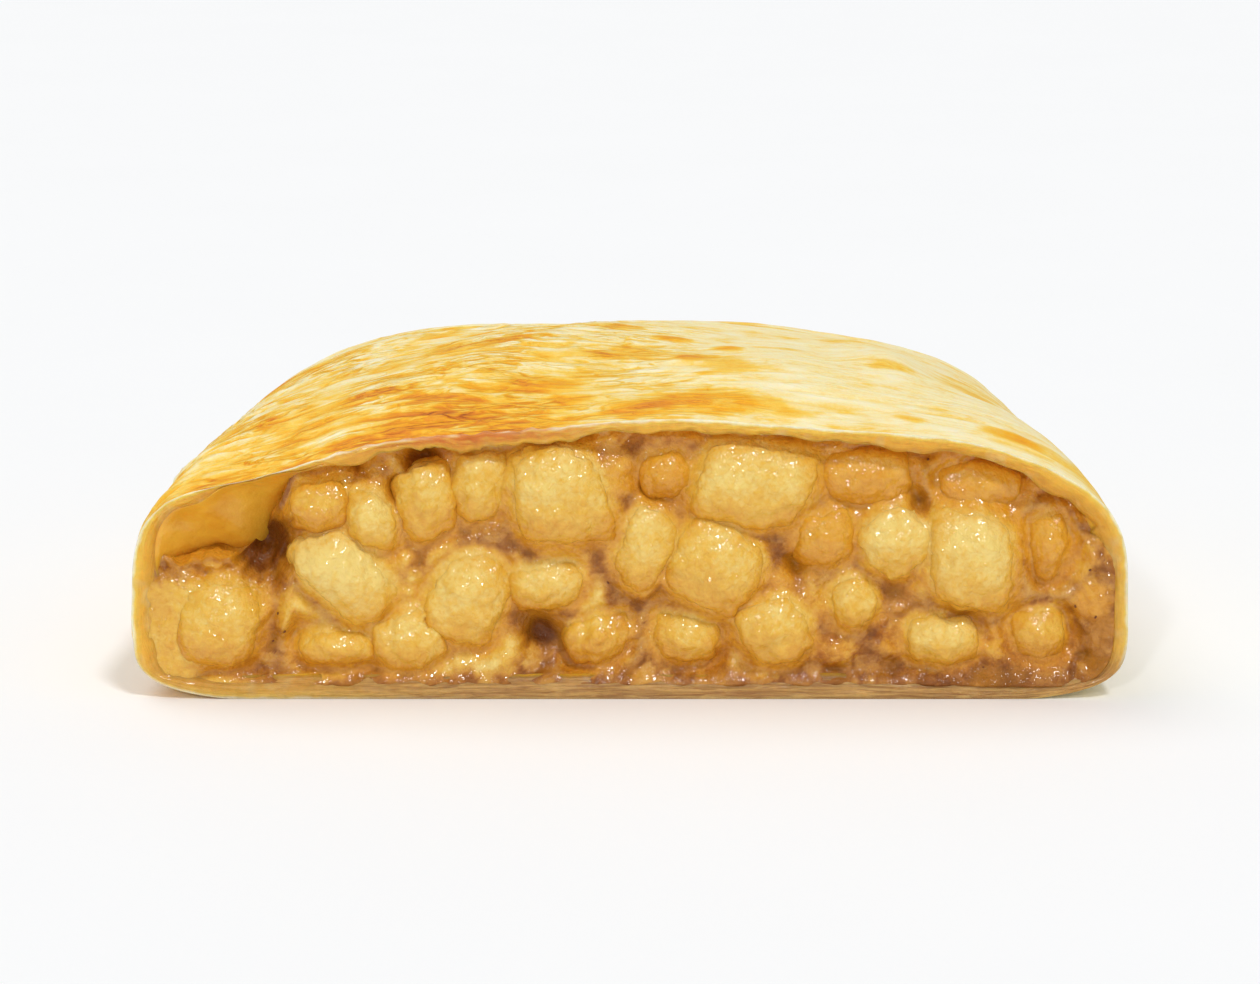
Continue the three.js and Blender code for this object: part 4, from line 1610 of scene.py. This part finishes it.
@dataclass
class AppleDice:
    """The cooked apple dice: blocks gone soft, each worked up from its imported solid."""

    front: float
    prefix: str = "apple_piece_"
    voxel: float = 0.34
    rounds: int = 2
    dome: float = 0.5
    dome_deep: float = 3.5
    swell: float = 0.45
    shown_by: float = 1.5
    slow_wave: float = 0.32
    # Painted light and shade on each dice: darker below, behind and toward the outline, paler on faces turned
    # up.
    pitting: float = 0.3
    below_shade: float = 0.26
    behind_shade: float = 0.3
    edge_shade: float = 0.14
    top_highlight: float = 0.2
    syrup: float = 0.9
    kinds: tuple[tuple[Cooked, str], ...] = (
        (Cooked.SYRUPY, "06 08 09 15 18"), (Cooked.DULL, "01 20 22 23 27"), (Cooked.PALE, "10 11 16 17"))

    def names(self) -> list[str]:
        """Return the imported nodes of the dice, in order."""
        return sorted(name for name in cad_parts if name.startswith(self.prefix))

    def soften(self, node: str, number: int) -> bpy.types.Object:
        """Make the fine, soft form of one dice.

        Args:
            node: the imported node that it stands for.
            number: the dice's number, which seeds its unevenness.

        Returns:
            The dice's object, not yet dressed.
        """
        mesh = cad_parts[node].data.copy()
        weld(mesh)
        mesh.materials.clear()
        dice = add_object(node.replace(self.prefix, "apple_dice_"), mesh)
        remesh = dice.modifiers.new("even mesh", "REMESH")
        remesh.mode = "VOXEL"
        remesh.voxel_size = self.voxel * MM
        remesh.use_smooth_shade = True
        relax = dice.modifiers.new("cooked soft", "SMOOTH")
        relax.factor = 0.5
        relax.iterations = self.rounds
        baked(dice)
        points, out = per_corner(dice, "co") / MM, per_corner(dice, "normal")
        slow = Grain(60 + number)(points / 3.6)
        pitted = Grain(61).layered(points / 1.3 + number, 2)
        front = smooth(-out[:, 1], 0.2, 0.8)
        swell = self.swell * (1 - 0.5 * front) + self.slow_wave * slow + self.pitting * pitted
        points = points + out * swell[:, None]
        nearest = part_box(node)[0].y / MM
        behind = points[:, 1] - nearest
        rounded = self.dome * self.off_middle(node, points) ** 3
        points[:, 1] += rounded * (1 - smooth(behind, 0, self.dome_deep))
        sunk = nearest - self.front - self.shown_by
        points[:, 1] -= max(sunk, 0) * (1 - smooth(behind, 0, 2 * self.dome_deep))
        move_corners(dice, points)
        return dice

    def off_middle(self, node: str, points: Array) -> Array:
        """Return how far points lie from the middle of a node's front: near one at its outline."""
        low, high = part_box(node)
        middle, half = (low + high) / (2 * MM), (high - low) / (2 * MM)
        off = np.hypot((points[:, 0] - middle.x) / half.x, (points[:, 2] - middle.z) / half.z)
        return np.minimum(off, 1.3)

    def cooked(self, node: str) -> Cooked:
        """Return how the dice of a node has taken up the juice."""
        return next((kind for kind, numbers in self.kinds if node[-2:] in numbers.split()), Cooked.PLAIN)

    def dress(self, dice: bpy.types.Object, node: str, material: bpy.types.Material, number: int) -> None:
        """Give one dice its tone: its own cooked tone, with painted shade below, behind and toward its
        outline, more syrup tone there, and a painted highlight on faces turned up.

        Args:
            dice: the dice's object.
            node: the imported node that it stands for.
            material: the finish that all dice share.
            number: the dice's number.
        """
        low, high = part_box(node)
        points, out = per_corner(dice, "co") / MM, per_corner(dice, "normal")
        down = 1 - (points[:, 2] * MM - low.z) / (high.z - low.z)
        behind = (points[:, 1] * MM - low.y) / (high.y - low.y)
        kind = self.cooked(node)
        tone = kind.value + 0.05 * math.sin(number * 2.4)
        turned = 1 - smooth(-out[:, 1], 0.1, 0.85)
        edged = smooth(self.off_middle(node, points), 0.65, 1.2)
        # Painted shade below, behind and toward the outline, and a painted highlight on faces turned up.
        soak = tone - 0.06 + self.below_shade * smooth(down, 0.15, 1.0)
        soak = soak + self.behind_shade * smooth(behind, 0.1, 0.6) + self.edge_shade * edged
        soak -= self.top_highlight * smooth(out[:, 2], 0.1, 0.8) * turned
        # More syrup tone below and toward the outline, part of the same painted shade.
        amber = 0.05 + 0.3 * smooth(down, 0.4, 1.0) + 0.4 * edged
        if kind is Cooked.SYRUPY:
            amber = np.full(soak.shape, self.syrup)
        store(dice, "soak", np.clip(soak, 0, 1))
        store(dice, "amber", np.clip(amber, 0, 1))
        dice.data.materials.append(material)

    def build(self) -> list[tuple[bpy.types.Object, str]]:
        """Make and dress every dice.

        Returns:
            Each dice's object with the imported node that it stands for.
        """
        material = CookedFruit("cooked apple flesh").build()
        pieces = []
        for number, node in enumerate(self.names(), start=1):
            dice = self.soften(node, number)
            self.dress(dice, node, material, number)
            pieces.append((dice, node))
        return pieces


# --------------------------------------------------------------------------------------------------
# What is scattered over the cut.
# --------------------------------------------------------------------------------------------------


def soft_block(name: str, long: float, seed: int, cuts: int) -> bpy.types.Object:
    """Make a small rounded block of unit width, to be scattered.

    Args:
        name: name of the object.
        long: its length, as a share of its width.
        seed: the number that fixes its unevenness.
        cuts: how many faces each side is cut into, along an edge.

    Returns:
        The block's object, which is removed once it has been scattered.
    """
    mesh = bpy.data.meshes.new(name)
    cube = bmesh.new()
    bmesh.ops.create_cube(cube, size=1.0)
    bmesh.ops.subdivide_edges(cube, edges=cube.edges, cuts=cuts - 1, use_grid_fill=True)
    uneven = Grain(seed)
    for corner in cube.verts:
        place = np.array(corner.co)
        place = place * 0.5 / (np.sum(np.abs(place) ** 3.4) ** (1 / 3.4))
        place = place * (1 + 0.22 * uneven(place[None, :] * 2.6)[0])
        corner.co = Vector((place[0] * long, place[1], place[2] * 0.85))
    cube.to_mesh(mesh)
    cube.free()
    mesh.shade_smooth()
    return add_object(name, mesh)


@dataclass(frozen=True)
class Scatter:
    """Small things strewn over a surface by a node tree, then made one plain mesh."""

    name: str
    density: float
    smallest: float
    largest: float
    seed: int

    def tree(self) -> bpy.types.NodeTree:
        """Return the node tree, with named inputs for its sizes and its seed."""
        tree = bpy.data.node_groups.new(f"{self.name} scatter", "GeometryNodeTree")
        kinds = {
            "Geometry": "NodeSocketGeometry", "Surface": "NodeSocketObject", "Thing": "NodeSocketObject",
            "Density": "NodeSocketFloat", "Smallest": "NodeSocketFloat", "Largest": "NodeSocketFloat",
            "Seed": "NodeSocketInt", "Material": "NodeSocketMaterial",
        }
        for name, kind in kinds.items():
            tree.interface.new_socket(name, in_out="INPUT", socket_type=kind)
        tree.interface.new_socket("Geometry", in_out="OUTPUT", socket_type="NodeSocketGeometry")
        given = add_node(tree, "NodeGroupInput").outputs
        surface = add_node(tree, "GeometryNodeObjectInfo", {"Object": given["Surface"]}).outputs["Geometry"]
        thing = add_node(tree, "GeometryNodeObjectInfo", {
            "Object": given["Thing"], "As Instance": True}).outputs["Geometry"]
        shown = add_node(tree, "GeometryNodeInputNamedAttribute", {
            "Name": "shown"}, data_type="FLOAT").outputs[0]
        many = add_node(tree, "ShaderNodeMath", {
            0: given["Density"], 1: shown}, operation="MULTIPLY").outputs[0]
        strewn = add_node(tree, "GeometryNodeDistributePointsOnFaces", {
            "Mesh": surface, "Density": many, "Seed": given["Seed"]}).outputs["Points"]
        turn = add_node(tree, "FunctionNodeRandomValue", {
            1: (math.tau, math.tau, math.tau), "Seed": given["Seed"]}, data_type="FLOAT_VECTOR").outputs[0]
        size = add_node(tree, "FunctionNodeRandomValue", {
            2: given["Smallest"], 3: given["Largest"], "Seed": given["Seed"]}, data_type="FLOAT").outputs[1]
        placed = add_node(tree, "GeometryNodeInstanceOnPoints", {
            "Points": strewn, "Instance": thing, "Rotation": turn, "Scale": size}).outputs[0]
        real = add_node(tree, "GeometryNodeRealizeInstances", {"Geometry": placed}).outputs[0]
        done = add_node(tree, "GeometryNodeSetMaterial", {
            "Geometry": real, "Material": given["Material"]}).outputs[0]
        add_node(tree, "NodeGroupOutput", {"Geometry": done})
        return tree

    def build(self, surface: bpy.types.Object, thing: bpy.types.Object,
              material: bpy.types.Material) -> bpy.types.Object:
        """Strew the things over a surface.

        Args:
            surface: the mesh to strew over, which has a shown attribute.
            thing: the one small mesh, of unit size in millimetres; it is removed afterwards.
            material: the finish of the things.

        Returns:
            One plain mesh object.
        """
        piece = mesh_object(self.name, [(0, 0, 0)], [])
        modifier = piece.modifiers.new("scatter", "NODES")
        tree = self.tree()
        modifier.node_group = tree
        values = {
            "Surface": surface, "Thing": thing, "Density": self.density / MM**2,
            "Smallest": self.smallest * MM, "Largest": self.largest * MM, "Seed": self.seed,
            "Material": material,
        }
        for socket in tree.interface.items_tree:
            if socket.in_out == "INPUT" and socket.name in values:
                modifier[socket.identifier] = values[socket.name]
        baked(piece)
        bpy.data.objects.remove(thing)
        return piece


# --------------------------------------------------------------------------------------------------
# The studio.
# --------------------------------------------------------------------------------------------------


@dataclass(frozen=True)
class Studio:
    """A plain pale floor under soft light, and the camera."""

    azimuth: float = 0.0
    elevation: float = 13.0
    distance: float = 420.0
    lens: float = 110.0
    floor_size: float = 6000.0
    aim: tuple[float, float, float] = (0.0, 0.0, 13.0)
    tent: float = 0.4
    overhead: float = 0.78
    front: float = 0.05
    key: float = 1.12
    glint: float = 0.5

    def camera(self) -> None:
        """Make the camera that looks at the cut, a little from above."""
        data = bpy.data.cameras.new("camera")
        data.lens = self.lens
        data.sensor_width = 36.0
        data.clip_end = 20.0
        camera = add_object("camera", data)
        turn, lift = math.radians(self.azimuth), math.radians(self.elevation)
        away = Vector((-math.sin(turn) * math.cos(lift), -math.cos(turn) * math.cos(lift), math.sin(lift)))
        aim = Vector(self.aim) * MM
        camera.location = aim + away * self.distance * MM
        camera.rotation_euler = (-away).to_track_quat("-Z", "Y").to_euler()
        bpy.context.scene.camera = camera

    def floor(self) -> None:
        """Lay the floor."""
        half = self.floor_size / 2
        floor = mesh_object("floor", [(-half, -half, 0), (half, -half, 0), (half, half, 0), (-half, half, 0)],
                            [(0, 1, 2, 3)])
        floor.data.materials.append(PlainFinish("matt white board", "#fcfdfe", "#fafbfc", 0.9, 40.0).build())

    def sun(self, name: str, toward: tuple[float, float, float], spread_degrees: float,
            strength: float) -> None:
        """Add an even light from one side of the sky.

        Args:
            name: name of the light.
            toward: direction from the piece to the light.
            spread_degrees: how wide the light looks, which softens its shadows.
            strength: its power for each square metre.
        """
        data = bpy.data.lights.new(name, "SUN")
        data.angle = math.radians(spread_degrees)
        data.energy = strength
        lamp = add_object(name, data)
        lamp.rotation_euler = (-Vector(toward)).to_track_quat("-Z", "Y").to_euler()

    def build(self) -> None:
        """Set the world, the lights, the floor and the camera."""
        world = bpy.data.worlds.new("white tent")
        world.use_nodes = True
        backdrop = world.node_tree.nodes["Background"]
        backdrop.inputs["Color"].default_value = linear("#ffffff")
        backdrop.inputs["Strength"].default_value = self.tent
        bpy.context.scene.world = world
        bpy.context.scene.view_settings.view_transform = "Standard"
        self.camera()
        self.floor()
        self.sun("overhead softbox", (-0.45, 0.25, 1.0), 40.0, self.overhead)
        self.sun("front softbox", (-0.35, -1.0, 0.75), 30.0, self.front)
        self.sun("key lamp", (0.3, -0.55, 1.0), 9.0, self.key)
        self.sun("small front lamp", (-0.3, -1.0, 0.5), 4.0, self.glint)


def main() -> None:
    logging.basicConfig(level=logging.INFO, format="%(name)s: %(message)s")
    form = StrudelForm.from_frame()
    Studio().build()

    hand_in(DoughShell(form).build(), Slot.DOUGH, ("dough_shell",))
    dice = AppleDice(form.front).build()
    for piece, node in dice:
        hand_in(piece, Slot.APPLE, (node,))
    bed = FruitBed(form, [piece for piece, _ in dice]).build()
    hand_in(bed, Slot.FILLING, ("apple_filling",))

    spice_finish = PlainFinish("ground cinnamon", "#8a4f1f", "#5a2f12", 0.6, 0.3).build()
    fleck = soft_block("fleck", long=1.6, seed=76, cuts=2)
    flecks = Scatter("spice_flecks", density=0.02, smallest=0.12, largest=0.28, seed=75)
    spice = flecks.build(bed, fleck, spice_finish)
    hand_in(spice, Slot.FILLING)


if __name__ == "__main__":
    main()
